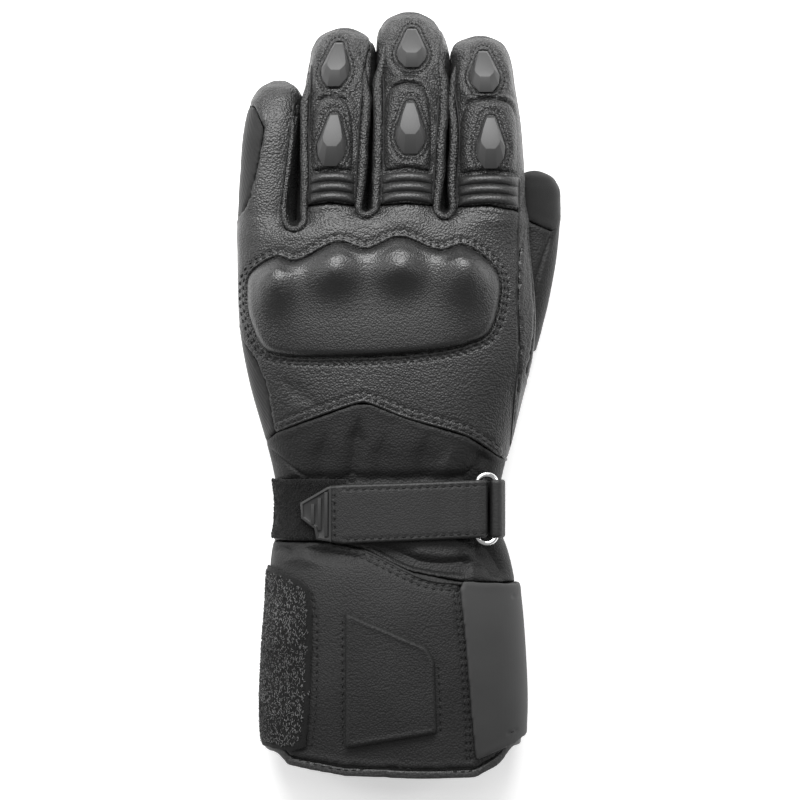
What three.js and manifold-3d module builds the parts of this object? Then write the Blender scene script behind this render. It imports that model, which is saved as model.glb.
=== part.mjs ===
// Left winter motorcycle glove, lying palm down with its fingers along +Y and its thumb on the +X side.
// Millimetres, +Z up. The palm lies on z = 0, and the origin is under the middle of the glove.
import * as THREE from "three";
import { mergeVertices } from "three/addons/utils/BufferGeometryUtils.js";
import Module from "manifold-3d";

const wasm = await Module();
wasm.setup();

// Driving dimensions
const wall = 2.2; // leather with its lining
const seamGap = 0.3; // between neighbouring panels
const seat = 0.3; // under a piece that is sewn on top
const floorOverrun = 2; // how far a section would reach below the floor if it weren't flattened
const crotchY = 20; // where the thumb leaves the hand
const thumbClearance = 0.5; // between the thumb and the hand beside it
const handCorner = 2.5; // superellipse exponent of the back of the hand
const palmCorner = 4; // the same for the flattened palm
const fingerCorner = 2.4; // the same for fingers and thumb
const handTop = 12; // segments over the back of a hand section
const handTopInside = 8;
const handUnder = 6; // segments under it
const fingerSides = 10;
const fingerSidesInside = 8;
const smallestHalf = 1; // least half width and half height of a finger's inner section
const tipStep = 1; // least distance between a finger's last two sections
const reach = 80; // larger than any section
const hemOverrun = 5; // how far the cuff is lofted past its hem before the hem is cut
const patchThickness = 1.2; // loop fabric
const flapThickness = 2;
const strapLift = 2;
const strapThickness = 2.2;
const tabThickness = 3;
const strapEnd = 5.2; // folded strap round the wire
const wireRadius = 1.15;
const wireClearance = 0.4;
const bindingWidth = 4;
const guardHeight = 5.5;
const knuckleHeight = 4.5;
const guardRim = 1; // thickness of the guard at its edge
const padHeight = 1.6;
const padRim = 0.5;
const padClearance = 3; // between the last rib and the pad in front of it
const ribHeight = 2.1;
const ribRim = 0.5;
const ribMargin = 0.6; // from a rib's end to the seam beside it
const cuffPadHeight = 2.2;
const cuffPadRim = 1;
const foldDrop = 0.8; // how far a folded strap end reaches below the strap
const anchorFoot = 2.4; // leather that carries the anchor

// Rows of numbers under named columns
function table(columns, rows) {
  return rows.map((row) =>
    Object.fromEntries(columns.map((name, i) => [name, row[i]])),
  );
}

// Cross-sections from the cuff's hem to the roots of the fingers.
// mid is the height at which a section is widest.
const handRows = table(
  ["y", "left", "right", "top", "mid"],
  [
    [-163, -54.5, 49.0, 48, 22],
    [-147.6, -56.4, 50.8, 49.5, 22],
    [-132, -57.3, 51.6, 50.5, 22],
    [-110, -56.5, 51.0, 51, 22],
    [-87, -55.0, 49.2, 50, 22],
    [-76, -54.4, 47.8, 48, 22],
    [-66, -53.4, 45.4, 45.2, 22],
    [-57, -51.6, 42.2, 44, 22],
    [-41, -51.2, 41.8, 44, 22],
    [-31, -53.0, 43.8, 45, 22],
    [-21, -55.6, 46.8, 46, 22.5],
    [-11, -58.6, 49.4, 46, 23],
    [-1, -61.5, 52.0, 46, 24],
    [14, -64.9, 55.6, 45.5, 26],
    [26, -66.9, 56.9, 45, 27],
    [40, -67.8, 56.7, 44.5, 27],
    [53, -68.0, 55.5, 44, 26],
    [65, -68.0, 54.4, 43, 25],
    [78, -67.8, 53.3, 40.5, 24],
  ],
);

// Fingers from their roots inside the hand to their tips
const fingerColumns = ["y", "left", "right", "bottom", "top"];
const fingerRows = {
  little: table(fingerColumns, [
    [58, -67.8, -44.4, 1, 36],
    [78, -67.8, -43.7, 1.5, 34.5],
    [96, -66.8, -42.4, 2.5, 32],
    [110, -65.7, -41.6, 2.5, 30],
    [120, -63.6, -41.2, 2, 27],
    [126, -61.2, -41.6, 1.5, 23.5],
    [130, -57.8, -44.6, 3.5, 18.5],
    [132.1, -53.6, -48, 7, 13],
  ]),
  ring: table(fingerColumns, [
    [58, -43.4, -14.1, 1, 40],
    [78, -42.8, -13.9, 2, 38.5],
    [96, -41.7, -12.9, 3, 36.5],
    [115, -40.4, -11.2, 3, 33.5],
    [130, -39.3, -10.1, 2.2, 30],
    [140, -37.6, -10.3, 1, 26],
    [147, -35.9, -11.3, 0.6, 22.5],
    [151.8, -31.7, -15.3, 3.5, 17],
    [153.9, -26.6, -19.4, 7, 13],
  ]),
  middle: table(fingerColumns, [
    [58, -13.4, 18.9, 1, 41.5],
    [78, -13.2, 19.1, 2, 40],
    [96, -12.2, 20.0, 3, 38],
    [117, -10.4, 20.6, 3.2, 35],
    [131, -9.3, 20.7, 2.5, 32],
    [145, -9.4, 20.2, 0.8, 27],
    [154.6, -7.6, 16.2, 1, 21],
    [158.7, -4.0, 12.4, 3.5, 16.5],
    [160.7, 0.6, 8.2, 7, 13],
  ]),
  index: table(fingerColumns, [
    [58, 19.6, 54.2, 1, 40],
    [78, 20.0, 53.3, 2, 38.5],
    [96, 20.6, 52.1, 3, 36.5],
    [115, 21.2, 50.6, 3, 33.5],
    [130, 21.4, 48.3, 2.2, 30],
    [139, 21.7, 47.0, 1, 26],
    [144.6, 22.3, 45.2, 0.8, 22.5],
    [148.5, 25.0, 42.2, 3.5, 17],
    [150.6, 30.4, 37.8, 7, 13],
  ]),
};
const thumbRows = table(fingerColumns, [
  [crotchY - wall, 33.2, 57.2, 0.6, 27],
  [31, 38.0, 61.1, 0.4, 26],
  [43, 41.0, 63.8, 0.2, 25],
  [58, 43.1, 66.6, 0, 24],
  [70, 43.9, 67.7, 0, 23.2],
  [80, 44.7, 68.0, 0.4, 22.2],
  [88.4, 47.0, 66.8, 2, 19.5],
  [92.4, 50.6, 63.4, 4.5, 16.5],
  [93.9, 54, 60, 7.5, 13.5],
]);

// Seams in plan: those of the fingers and sides run towards the wrist, the others from left to right
const beyond = 170;
const seams = {
  ringLeft: [[-35.1, beyond], [-35.1, 150.2], [-37, 138], [-38, 110.7], [-37.6, 90.1], [-38.2, 78.3]],
  ringRight: [[-13.2, beyond], [-13.7, 150.2], [-15.3, 132.9], [-17, 111.5], [-18.1, 90.1], [-18.9, 78.3]],
  middleLeft: [[-6.1, beyond], [-6.1, 156.9], [-6.9, 134.2], [-6.5, 115], [-6.9, 95.5], [-8.2, 78.3]],
  middleRight: [[15.3, beyond], [15.3, 156.9], [16.5, 124], [15.3, 106.5], [14.5, 90.1], [13.7, 78.3]],
  indexLeft: [[24.1, beyond], [24.1, 147.6], [22.7, 131], [25.2, 109.4], [24.1, 90.1], [24.1, 77.5]],
  indexRight: [[45.8, beyond], [46.8, 139.2], [48.5, 130], [50, 117], [50.6, 91.3], [49.6, 76]],
  handRight: [[49.6, 76], [50.4, 67], [49.3, 55], [49.1, 40.5], [49.8, 18.3], [48.1, -1.1], [46.4, -20],
    [44.7, -28.3]],
  littleRight: [[-42.2, beyond], [-42.2, 132.5], [-43.3, 127.9], [-46, 110.7], [-48.5, 90.1], [-49.8, 79.2]],
  webLittleRing: [[-49.8, 79.2], [-49.4, 72], [-46.8, 68], [-43.9, 67], [-41, 68], [-38.4, 72],
    [-38.2, 78.3]],
  webRingMiddle: [[-18.9, 78.3], [-17.9, 74.8], [-14.5, 72.7], [-10.7, 74.3], [-8.2, 78.3]],
  webMiddleIndex: [[13.7, 78.3], [14.9, 74.3], [18.9, 72], [22.5, 74.1], [24.1, 77.5]],
  ringRoot: [[-38.2, 78.3], [-28.8, 79.6], [-18.9, 78.3]],
  middleRoot: [[-8.2, 78.3], [2.8, 79.2], [13.7, 78.3]],
  indexRoot: [[24.1, 77.5], [37, 78.6], [49.6, 76]],
  sideUpper: [[-75, 124], [-60.3, 120.3], [-56.7, 110.7], [-61.5, 81.7], [-67, 69.9], [-75, 64]],
  sideLower: [[-75, 31], [-65.3, 27.1], [-55, 4.4], [-53.5, -2.7], [-51.4, -16]],
  yoke: [[-51.4, -16], [-18.3, -4.2], [-12.4, -4.2], [3.1, -10.3], [28.3, -17.8], [44.7, -28.3]],
  yokeLeft: [[-75, -21], [-54.4, -19.6], [-51.4, -16]],
  yokeRight: [[44.7, -28.3], [50, -33], [60, -38]],
  cuffTop: [
    [-75, -60], [-54.4, -61.9], [-29.2, -61.9], [-15.3, -64.9], [4, -74.1], [26.2, -78.6], [75, -80],
  ],
  palmCuff: [[-75, -72], [75, -72]],
  hem: [[-75, -146], [-56.7, -147.6], [-49.4, -150.4], [-44.7, -155.4], [-23.3, -159.2], [10.3, -160.6],
    [31.5, -160], [39.7, -155.4], [45.6, -147.4], [75, -144]],
};

// Heights at which the back panels meet the palm panels, along the hand and beside the thumb
const splitAlong = [[-170, 20], [-20, 20], [10, 22], [58, 21], [80, 18.5], [100, 17], [130, 13], [145, 11],
  [170, 9]];
const splitThumb = [[-170, 20], [4, 20.5], [9, 31.6], [31, 30.4], [45, 29.4], [60, 28.4], [72, 27.6],
  [82, 26], [90, 22], [96, 17.4], [130, 13], [145, 11], [170, 9]];
const splitThumbX = 30.5;

function solidOf(geometry) {
  geometry.deleteAttribute("normal");
  geometry.deleteAttribute("uv");
  const merged = mergeVertices(geometry, 1e-4);
  return new wasm.Manifold(
    new wasm.Mesh({
      numProp: 3,
      vertProperties: new Float32Array(merged.attributes.position.array),
      triVerts: new Uint32Array(merged.index.array),
    }),
  );
}

// Negative where the faces point inwards
function signedVolume(corners, faces) {
  let sum = 0;
  for (let i = 0; i < faces.length; i += 3) {
    const [a, b, c] = [0, 1, 2].map((k) => new THREE.Vector3(...corners[faces[i + k]]));
    sum += a.dot(b.cross(c)) / 6;
  }
  return sum;
}

// A closed skin through rings of points, capped at both ends
function skin(rings) {
  const sides = rings[0].length;
  const corners = rings.flat();
  const faces = [];
  for (let i = 0; i + 1 < rings.length; i++)
    for (let j = 0; j < sides; j++) {
      const a = i * sides + j;
      const b = i * sides + ((j + 1) % sides);
      faces.push(a, b, b + sides, a, b + sides, a + sides);
    }
  const last = (rings.length - 1) * sides;
  for (const [start, turned] of [[0, true], [last, false]]) {
    const middle = corners.length;
    const mean = [0, 1, 2].map((k) => {
      let sum = 0;
      for (let j = 0; j < sides; j++) sum += corners[start + j][k];
      return sum / sides;
    });
    corners.push(mean);
    for (let j = 0; j < sides; j++) {
      const a = start + j;
      const b = start + ((j + 1) % sides);
      faces.push(...(turned ? [b, a, middle] : [a, b, middle]));
    }
  }
  const geometry = new THREE.BufferGeometry();
  geometry.setAttribute("position", new THREE.Float32BufferAttribute(corners.flat(), 3));
  geometry.setIndex(signedVolume(corners, faces) < 0 ? faces.reverse() : faces);
  return solidOf(geometry);
}

function power(value, exponent) {
  return Math.sign(value) * Math.abs(value) ** exponent;
}

// One hand section, moved inwards by inset, clockwise seen from the wrist
function handSection(row, inset) {
  const middle = (row.left + row.right) / 2;
  const half = (row.right - row.left) / 2 - inset;
  const points = [];
  const topSteps = inset > 0 ? handTopInside : handTop;
  const topHeight = row.top - row.mid - inset;
  const underHeight = row.mid + floorOverrun - inset;
  const parts = [
    { steps: topSteps, from: Math.PI, to: 0, corner: handCorner, height: topHeight },
    { steps: handUnder, from: 0, to: -Math.PI, corner: palmCorner, height: underHeight },
  ];
  for (const part of parts)
    for (let i = 0; i < part.steps; i++) {
      const angle = part.from + ((part.to - part.from) * i) / part.steps;
      const x = middle + half * power(Math.cos(angle), 2 / part.corner);
      const z = row.mid + part.height * power(Math.sin(angle), 2 / part.corner);
      points.push([x, row.y, Math.max(z, inset > 0 ? inset : 0)]);
    }
  return points;
}

function fingerSection(row, inset, y) {
  const points = [];
  const half = Math.max((row.right - row.left) / 2 - inset, smallestHalf);
  const height = Math.max((row.top - row.bottom) / 2 - inset, smallestHalf);
  const sides = inset > 0 ? fingerSidesInside : fingerSides;
  for (let i = 0; i < sides; i++) {
    const angle = Math.PI - (2 * Math.PI * i) / sides;
    const x = (row.left + row.right) / 2 + half * power(Math.cos(angle), 2 / fingerCorner);
    const z = (row.top + row.bottom) / 2 + height * power(Math.sin(angle), 2 / fingerCorner);
    points.push([x, y, Math.max(z, 0)]);
  }
  return points;
}

// The hand and cuff, reaching out past the hem
function handLoft(inset) {
  const rings = handRows.map((row) => handSection(row, inset));
  rings.unshift(handSection({ ...handRows[0], y: handRows[0].y - hemOverrun }, inset));
  return skin(rings);
}

// A finger; an inner one stops a wall short of the tip and reaches past the root
function fingerLoft(rows, inset) {
  const tip = rows.at(-1);
  const kept = rows.filter((row) => row !== tip && row.y < tip.y - inset - tipStep);
  const end = Math.max(inset, 0);
  const rings = kept.map((row, i) => fingerSection(row, inset, i === 0 ? row.y - end : row.y));
  rings.push(fingerSection(tip, inset, tip.y - inset));
  return skin(rings);
}

function prism(points, low = -5, high = reach) {
  const shape = new THREE.Shape(points.map(([x, y]) => new THREE.Vector2(x, y)));
  const geometry = new THREE.ExtrudeGeometry(shape, { depth: high - low, bevelEnabled: false });
  geometry.translate(0, 0, low);
  return solidOf(geometry);
}

// A prism along X over a side view drawn in (y, z)
function sidePrism(points, left, right) {
  const shape = new THREE.Shape(points.map(([y, z]) => new THREE.Vector2(y, z)));
  const geometry = new THREE.ExtrudeGeometry(shape, { depth: right - left, bevelEnabled: false });
  const turn = new THREE.Matrix4().makeBasis(
    new THREE.Vector3(0, 1, 0),
    new THREE.Vector3(0, 0, 1),
    new THREE.Vector3(1, 0, 0),
  );
  geometry.applyMatrix4(turn);
  geometry.translate(left, 0, 0);
  return solidOf(geometry);
}

// The thin slot that a seam leaves between two panels
function slot(points, width = seamGap) {
  const sideways = points.map((point, i) => {
    const a = points[Math.max(i - 1, 0)];
    const b = points[Math.min(i + 1, points.length - 1)];
    const length = Math.hypot(b[0] - a[0], b[1] - a[1]);
    return [(-(b[1] - a[1]) / length) * (width / 2), ((b[0] - a[0]) / length) * (width / 2)];
  });
  const one = points.map(([x, y], i) => [x + sideways[i][0], y + sideways[i][1]]);
  const other = points.map(([x, y], i) => [x - sideways[i][0], y - sideways[i][1]]);
  return prism([...one, ...other.reverse()]);
}

function backwards(points) {
  return [...points].reverse();
}

function largest(solid) {
  return solid.decompose().sort((a, b) => b.volume() - a.volume())[0];
}

function union(solids) {
  return solids.reduce((sum, solid) => sum.add(solid));
}

// The sewn shell of hand, cuff and fingers, hollow and open at the hem
const fingers = Object.values(fingerRows);
const webFront = [[-80, 70.8], [-41, 70.8], [-17, 75.4], [21.5, 75.4], [80, 76]];
function frontPrism(shift) {
  const front = webFront.map(([x, y]) => [x, y - shift]);
  return prism([...front, [80, -180], [-80, -180]]);
}
function bodyOf(inset) {
  const hand = handLoft(inset).intersect(frontPrism(Math.max(inset, 0)));
  return union([hand, ...fingers.map((rows) => fingerLoft(rows, inset))]);
}
const hemPrism = prism([...seams.hem, [80, 180], [-80, 180]]);
const leatherEnd = seams.hem.map(([x, y]) => [x, y + bindingWidth + seamGap]);
const leatherPrism = prism([...leatherEnd, [80, 180], [-80, 180]]);

function thumbRoom(clearance, fromY) {
  const grown = fingerLoft(thumbRows, -clearance);
  return grown.intersect(prism([[0, fromY], [90, fromY], [90, 120], [0, 120]]));
}
const shellOuter = bodyOf(0).subtract(thumbRoom(thumbClearance, crotchY));
const shellInner = bodyOf(wall).subtract(thumbRoom(thumbClearance + wall, crotchY - wall));
const shell = shellOuter.subtract(shellInner).subtract(fingerLoft(thumbRows, -seamGap));

// Back and palm halves, the back cut along its seams
function above(profile, left, right, shift) {
  const line = profile.map(([y, z]) => [y, z + shift]);
  return sidePrism([...line, [170, reach], [-170, reach]], left, right);
}
const half = seamGap / 2;
const backRegion = union([
  above(splitAlong, -reach, splitThumbX, half),
  above(splitThumb, splitThumbX - half, reach, half),
]);
const palmRegion = union([
  above(splitAlong, -reach, splitThumbX, -half),
  above(splitThumb, splitThumbX - half, reach, -half),
]);
const leather = shell.intersect(leatherPrism);
const slots = union(
  Object.entries(seams)
    .filter(([name]) => name !== "palmCuff" && name !== "hem")
    .map(([, points]) => slot(points)),
);
const back = leather.intersect(backRegion).subtract(slots);
const palm = leather.subtract(palmRegion).subtract(slot(seams.palmCuff));

const s = seams;
const panelOutlines = {
  finger_back_ring: [...s.ringLeft, ...s.ringRoot, ...backwards(s.ringRight)],
  finger_back_middle: [...s.middleLeft, ...s.middleRoot, ...backwards(s.middleRight)],
  finger_back_index: [...s.indexLeft, ...s.indexRoot, ...backwards(s.indexRight)],
  fourchette_little_ring: [...s.littleRight, ...s.webLittleRing, ...backwards(s.ringLeft)],
  fourchette_ring_middle: [...s.ringRight, ...s.webRingMiddle, ...backwards(s.middleLeft)],
  fourchette_middle_index: [...s.middleRight, ...s.webMiddleIndex, ...backwards(s.indexLeft)],
  hand_back: [
    ...backwards(s.littleRight),
    [-80, beyond],
    ...s.sideUpper,
    ...s.sideLower,
    ...s.yoke,
    ...backwards(s.handRight),
    ...backwards(s.indexRoot),
    ...backwards(s.webMiddleIndex),
    ...backwards(s.middleRoot),
    ...backwards(s.webRingMiddle),
    ...backwards(s.ringRoot),
    ...backwards(s.webLittleRing),
  ],
  index_side_wall: [...s.indexRight, ...s.handRight, ...s.yokeRight, [80, -38], [80, beyond]],
  little_side_upper: [...s.sideUpper, [-85, 64], [-85, 124]],
  little_side_lower: [...s.sideLower, ...backwards(s.yokeLeft), [-85, -21], [-85, 31]],
  wrist_panel: [
    ...s.yokeLeft,
    ...s.yoke,
    ...s.yokeRight,
    [80, -38],
    [80, -80],
    ...backwards(s.cuffTop),
    [-80, -60],
  ],
  cuff_back: [...s.cuffTop, [80, -80], [80, -175], [-80, -175], [-80, -60]],
};
const pieces = {};
function unique(points) {
  return points.filter((point, i) => {
    const next = points[(i + 1) % points.length];
    return point[0] !== next[0] || point[1] !== next[1];
  });
}
for (const [name, outline] of Object.entries(panelOutlines))
  pieces[name] = largest(back.intersect(prism(unique(outline))));
pieces.palm_panel = largest(palm.intersect(prism([[-80, -72], [80, -72], [80, beyond], [-80, beyond]])));
pieces.cuff_palm = largest(palm.intersect(prism([[-80, -72], [80, -72], [80, -175], [-80, -175]])));

// Binding round the opening of the cuff
pieces.hem_binding = largest(
  handLoft(0)
    .subtract(handLoft(wall + 1))
    .intersect(hemPrism)
    .subtract(prism([...seams.hem.map(([x, y]) => [x, y + bindingWidth]), [80, 180], [-80, 180]])),
);

// Thumb with its tip panel
const thumb = fingerLoft(thumbRows, 0).subtract(fingerLoft(thumbRows, wall));
const thumbSeam = [[30, 78.5], [44, 77], [53.5, 73], [63.9, 68.2], [68.3, 80], [75, 84]];
const thumbCut = thumb.subtract(slot(thumbSeam));
const thumbTip = prism([...thumbSeam, [75, 100], [30, 100]]);
pieces.thumb_tip_patch = largest(thumbCut.intersect(thumbTip));
pieces.thumb_shell = largest(thumbCut.subtract(thumbTip));

// The height of the back at a point in plan
function rowAt(rows, y) {
  const i = Math.min(Math.max(rows.findIndex((row) => row.y >= y), 1), rows.length - 1);
  const a = rows[i - 1];
  const b = rows[i];
  const share = (y - a.y) / (b.y - a.y);
  return Object.fromEntries(Object.keys(a).map((key) => [key, a[key] + (b[key] - a[key]) * share]));
}
function handHeight(x, y) {
  const row = rowAt(handRows, y);
  const across = Math.abs((2 * x - row.left - row.right) / (row.right - row.left));
  if (across >= 1) return row.mid;
  return row.mid + (row.top - row.mid) * (1 - across ** handCorner) ** (1 / handCorner);
}
function fingerHeight(rows, x, y) {
  const row = rowAt(rows, y);
  const across = Math.min(Math.abs((2 * x - row.left - row.right) / (row.right - row.left)), 1);
  const middle = (row.top + row.bottom) / 2;
  return middle + (row.top - middle) * (1 - across ** fingerCorner) ** (1 / fingerCorner);
}

// Pieces sewn on top: a layer of even thickness over the hand, inside an outline drawn in plan
const seatBody = bodyOf(-seat);
function layer(outline, lift, thickness, lowest = 26) {
  return handLoft(-lift - thickness)
    .subtract(handLoft(-lift))
    .intersect(prism(outline, lowest, reach));
}

// A crowned piece inside an outline: rings step in from the rim to the centre, and crown gives the
// height over the body at (x, y) for a ring at a share of the way out. The body cuts its underside.
const under = 3; // how deep a sewn-on piece starts below the leather, before the leather cuts it
function crowned(outline, centre, shares, ground, crown) {
  const rings = [];
  const rim = outline.map(([x, y]) => [x, y, ground(x, y) - under]);
  rings.push(rim);
  for (const share of shares)
    rings.push(
      outline.map(([px, py]) => {
        const x = centre[0] + (px - centre[0]) * share;
        const y = centre[1] + (py - centre[1]) * share;
        return [x, y, ground(x, y) + crown(x, y, share)];
      }),
    );
  return largest(skin(rings).subtract(seatBody));
}
function smoothLoop(points, count) {
  const curve = new THREE.CatmullRomCurve3(
    points.map(([x, y]) => new THREE.Vector3(x, y, 0)),
    true,
    "centripetal",
  );
  return curve.getPoints(count).slice(0, count).map((point) => [point.x, point.y]);
}

// Knuckle guard with a dome over each knuckle
const guardOutline = smoothLoop(
  [[-51.7, 56.7], [-42.6, 55], [-26.2, 62.8], [-13.9, 59.8], [0.2, 64.9], [15.8, 59.4], [27.1, 61.5],
    [38.5, 53.5], [42, 43.5], [38, 26.7], [28.3, 20.8], [13.2, 17.6], [-9, 15.8], [-31.7, 15.3],
    [-46, 15.8], [-56.5, 19.1], [-62.4, 31.3], [-63.6, 41.8], [-61.9, 50.2]],
  30,
);
const knuckles = table(
  ["x", "y", "radius"],
  [
    [-51, 46.4, 11],
    [-27, 50.6, 11.5],
    [0.2, 51.9, 12],
    [24.6, 48.5, 12.5],
  ],
);
pieces.knuckle_guard = crowned(
  guardOutline,
  [-10.5, 38],
  [1, 0.95, 0.84, 0.7, 0.5, 0.2],
  handHeight,
  (x, y, share) => {
    const rise = guardHeight * (1 - share ** 4) ** 0.5;
    const domes = knuckles.map((dome) => {
      const away = Math.hypot(x - dome.x, y - dome.y) / dome.radius;
      return away < 1 ? knuckleHeight * (1 - away ** 2) ** 1.5 : 0;
    });
    return seat + guardRim + rise + Math.max(...domes) * (1 - share ** 6);
  },
);

// Pads, sliders and sewn ribs on three fingers
const fingerParts = table(
  ["finger", "rib", "ribLeft", "ribRight", "padTop", "padLeft", "padRight"],
  [
    ["ring", 79.3, -38, -18.9, 124.6, -37.4, -17.2],
    ["middle", 79.3, -7.8, 13.6, 129.8, -6.3, 15.6],
    ["index", 78.4, 24.4, 49.4, 123.3, 24.4, 49.6],
  ],
);
const ribPitch = 4.1;
const ribCount = 3;
const ribSteps = 4;
function ribs(part) {
  const ground = (x, y) => fingerHeight(fingerRows[part.finger], x, y);
  const left = part.ribLeft + ribMargin;
  const right = part.ribRight - ribMargin;
  const across = 7;
  const rings = [];
  for (let i = 0; i <= ribCount * ribSteps; i++) {
    const y = part.rib + (i * ribPitch) / ribSteps;
    const arc = Math.abs(Math.sin((Math.PI * i) / ribSteps));
    const ring = [];
    for (let j = 0; j <= across; j++) {
      const x = left + ((right - left) * j) / across;
      ring.push([x, y, ground(x, y) + seat + ribRim + ribHeight * arc ** 0.7]);
    }
    for (const x of [right, left]) ring.push([x, y, ground(x, y) - under]);
    rings.push(ring);
  }
  return largest(skin(rings).subtract(seatBody));
}
const sliderRim = [[0.3, 1], [0.66, 0.45], [1, -0.18], [0.88, -0.62], [0.42, -1]];
const sliderFacet = [[0.24, 0.92], [0.42, 0.45], [0.55, 0], [0.52, -0.12], [0.28, -0.32]];
const sliderFoot = -2.4; // heights over the finger, from the hidden foot to the top facet
const sliderEdge = 1.2;
const sliderFront = 1.9;
const sliderHeight = 4.6;
const sliderOnPad = padHeight + 0.6;
const sliderOnLeather = 0.3;
const sliders = table(
  ["name", "finger", "x", "y", "halfWidth", "halfLength", "lean", "lift"],
  [
    ["slider_ring_tip", "ring", -26.6, 138.1, 6, 9.4, -0.06, sliderOnLeather],
    ["slider_ring_mid", "ring", -28.1, 106, 6.2, 11.1, -0.04, sliderOnPad],
    ["slider_middle_tip", "middle", 5.1, 145, 6.4, 8.3, 0, sliderOnLeather],
    ["slider_middle_mid", "middle", 4.5, 111, 6.4, 11, 0, sliderOnPad],
    ["slider_index_tip", "index", 35.6, 135, 6.3, 8.8, 0.03, sliderOnLeather],
    ["slider_index_mid", "index", 38, 104.9, 6.2, 11, 0, sliderOnPad],
  ],
);
function mirrored(points) {
  return [...points, ...backwards(points).map(([u, v]) => [-u, v])];
}
function slider(part) {
  const rows = fingerRows[part.finger];
  const base = fingerHeight(rows, part.x, part.y) + part.lift;
  const step = 5;
  const slope = (rowAt(rows, part.y + step).top - rowAt(rows, part.y - step).top) / (2 * step);
  const placed = (points, height) =>
    points.map(([u, v]) => {
      const y = part.y + v * part.halfLength;
      return [
        part.x + u * part.halfWidth - part.lean * v * part.halfLength * 2,
        y,
        base + slope * (y - part.y) + height(v),
      ];
    });
  const rim = mirrored(sliderRim);
  const [front, rear] = [sliderFacet[0][1], sliderFacet.at(-1)[1]];
  const facetHeight = (v) => sliderFront + ((front - v) / (front - rear)) * (sliderHeight - sliderFront);
  return skin([
    placed(rim, () => sliderFoot),
    placed(rim, () => sliderEdge),
    placed(mirrored(sliderFacet), facetHeight),
  ]);
}
for (const part of sliders) pieces[part.name] = largest(slider(part).subtract(seatBody));
for (const part of fingerParts) {
  const ground = (x, y) => fingerHeight(fingerRows[part.finger], x, y);
  const low = part.rib + ribCount * ribPitch + padClearance;
  const outline = smoothLoop(
    [
      [part.padLeft + 1.2, low + 0.5],
      [part.padLeft + 0.9, (low + part.padTop) / 2],
      [part.padLeft + 2.4, part.padTop - 4.5],
      [(part.padLeft + part.padRight) / 2, part.padTop],
      [part.padRight - 2.4, part.padTop - 4.5],
      [part.padRight - 0.9, (low + part.padTop) / 2],
      [part.padRight - 1.2, low + 0.5],
    ],
    14,
  );
  const centre = [(part.padLeft + part.padRight) / 2, (low + part.padTop) / 2];
  const pad = crowned(outline, centre, [1, 0.88, 0.5], ground, (x, y, share) =>
    seat + padRim + (padHeight - padRim) * (1 - share ** 4) ** 0.5,
  );
  const mid = sliders.find((one) => one.finger === part.finger && one.name.endsWith("mid"));
  const grown = { ...mid, halfWidth: mid.halfWidth + seat, halfLength: mid.halfLength + seat };
  pieces["finger_pad_" + part.finger] = largest(pad.subtract(slider(grown)));
  pieces["flex_ribs_" + part.finger] = ribs(part);
}

// Closure at the wrist: loop fabric, strap with its pull tab, wire ring and anchor
const strapOutline = [[-28.9, -38.4], [-23.3, -37.8], [0.2, -37.2], [37.2, -35.9], [37.2, -60.1],
  [0.2, -61.7], [-23.3, -62.8], [-28.9, -62]];
const ringMiddleY = -48.1;
const ringLength = 31;
const barLeft = 32.2;
const barRight = 40.4;
const barLift = 3.9;
const sideLowest = 14; // where the pieces that wrap round the wrist end
const cuffLowest = 9; // and those round the cuff
function barPlace(x) {
  const step = 0.2;
  const slope = (handHeight(x + step, ringMiddleY) - handHeight(x - step, ringMiddleY)) / (2 * step);
  const length = Math.hypot(1, slope);
  return [x, handHeight(x, ringMiddleY) + barLift * length];
}
const [leftBar, rightBar] = [barPlace(barLeft), barPlace(barRight)];
function wire(radius) {
  const across = Math.hypot(rightBar[0] - leftBar[0], rightBar[1] - leftBar[1]) / 2;
  const along = ringLength / 2 - wireRadius;
  const points = [];
  const arcSteps = 6;
  for (const side of [1, -1])
    for (let i = 0; i <= arcSteps; i++) {
      const angle = (Math.PI * i) / arcSteps + (side > 0 ? 0 : Math.PI);
      points.push(
        new THREE.Vector3(across * Math.cos(angle), side * (along - across) + across * Math.sin(angle), 0),
      );
    }
  const path = new THREE.CatmullRomCurve3(points, true, "centripetal");
  const geometry = new THREE.TubeGeometry(path, 20, radius, 6, true);
  geometry.rotateY(-Math.atan2(rightBar[1] - leftBar[1], rightBar[0] - leftBar[0]));
  geometry.translate((leftBar[0] + rightBar[0]) / 2, ringMiddleY, (leftBar[1] + rightBar[1]) / 2);
  return solidOf(geometry);
}
const wireHole = wire(wireRadius + wireClearance);
pieces.strap_ring = wire(wireRadius);
pieces.wrist_loop_patch = layer(
  [[-60, -35.5], [-22, -35.5], [-22, -60.6], [-60, -60.6]],
  seat,
  patchThickness,
  sideLowest,
);
const strapFold = prism([[28.4, -30], [37.2, -30], [37.2, -70], [28.4, -70]]);
pieces.wrist_strap = layer(strapOutline, strapLift, strapThickness)
  .add(layer(strapOutline, strapLift - foldDrop, strapEnd).intersect(strapFold))
  .subtract(wireHole);
const anchorLoop = [[38.8, -35.9], [43, -35.9], [43, -60.1], [38.8, -60.1]];
const anchorBand = [[42, -35.9], [60, -35.9], [60, -60.1], [42, -60.1]];
pieces.strap_anchor = layer(anchorLoop, strapLift - foldDrop, strapEnd)
  .add(layer(anchorBand, seat, anchorFoot, sideLowest))
  .subtract(wireHole);
pieces.pull_tab = layer(
  [[-41.4, -45.6], [-30, -38.6], [-29.2, -38.5], [-29.2, -61.9], [-34.6, -60.7], [-35.5, -56.1],
    [-40.9, -52.1]],
  strapLift,
  tabThickness,
);

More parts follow.
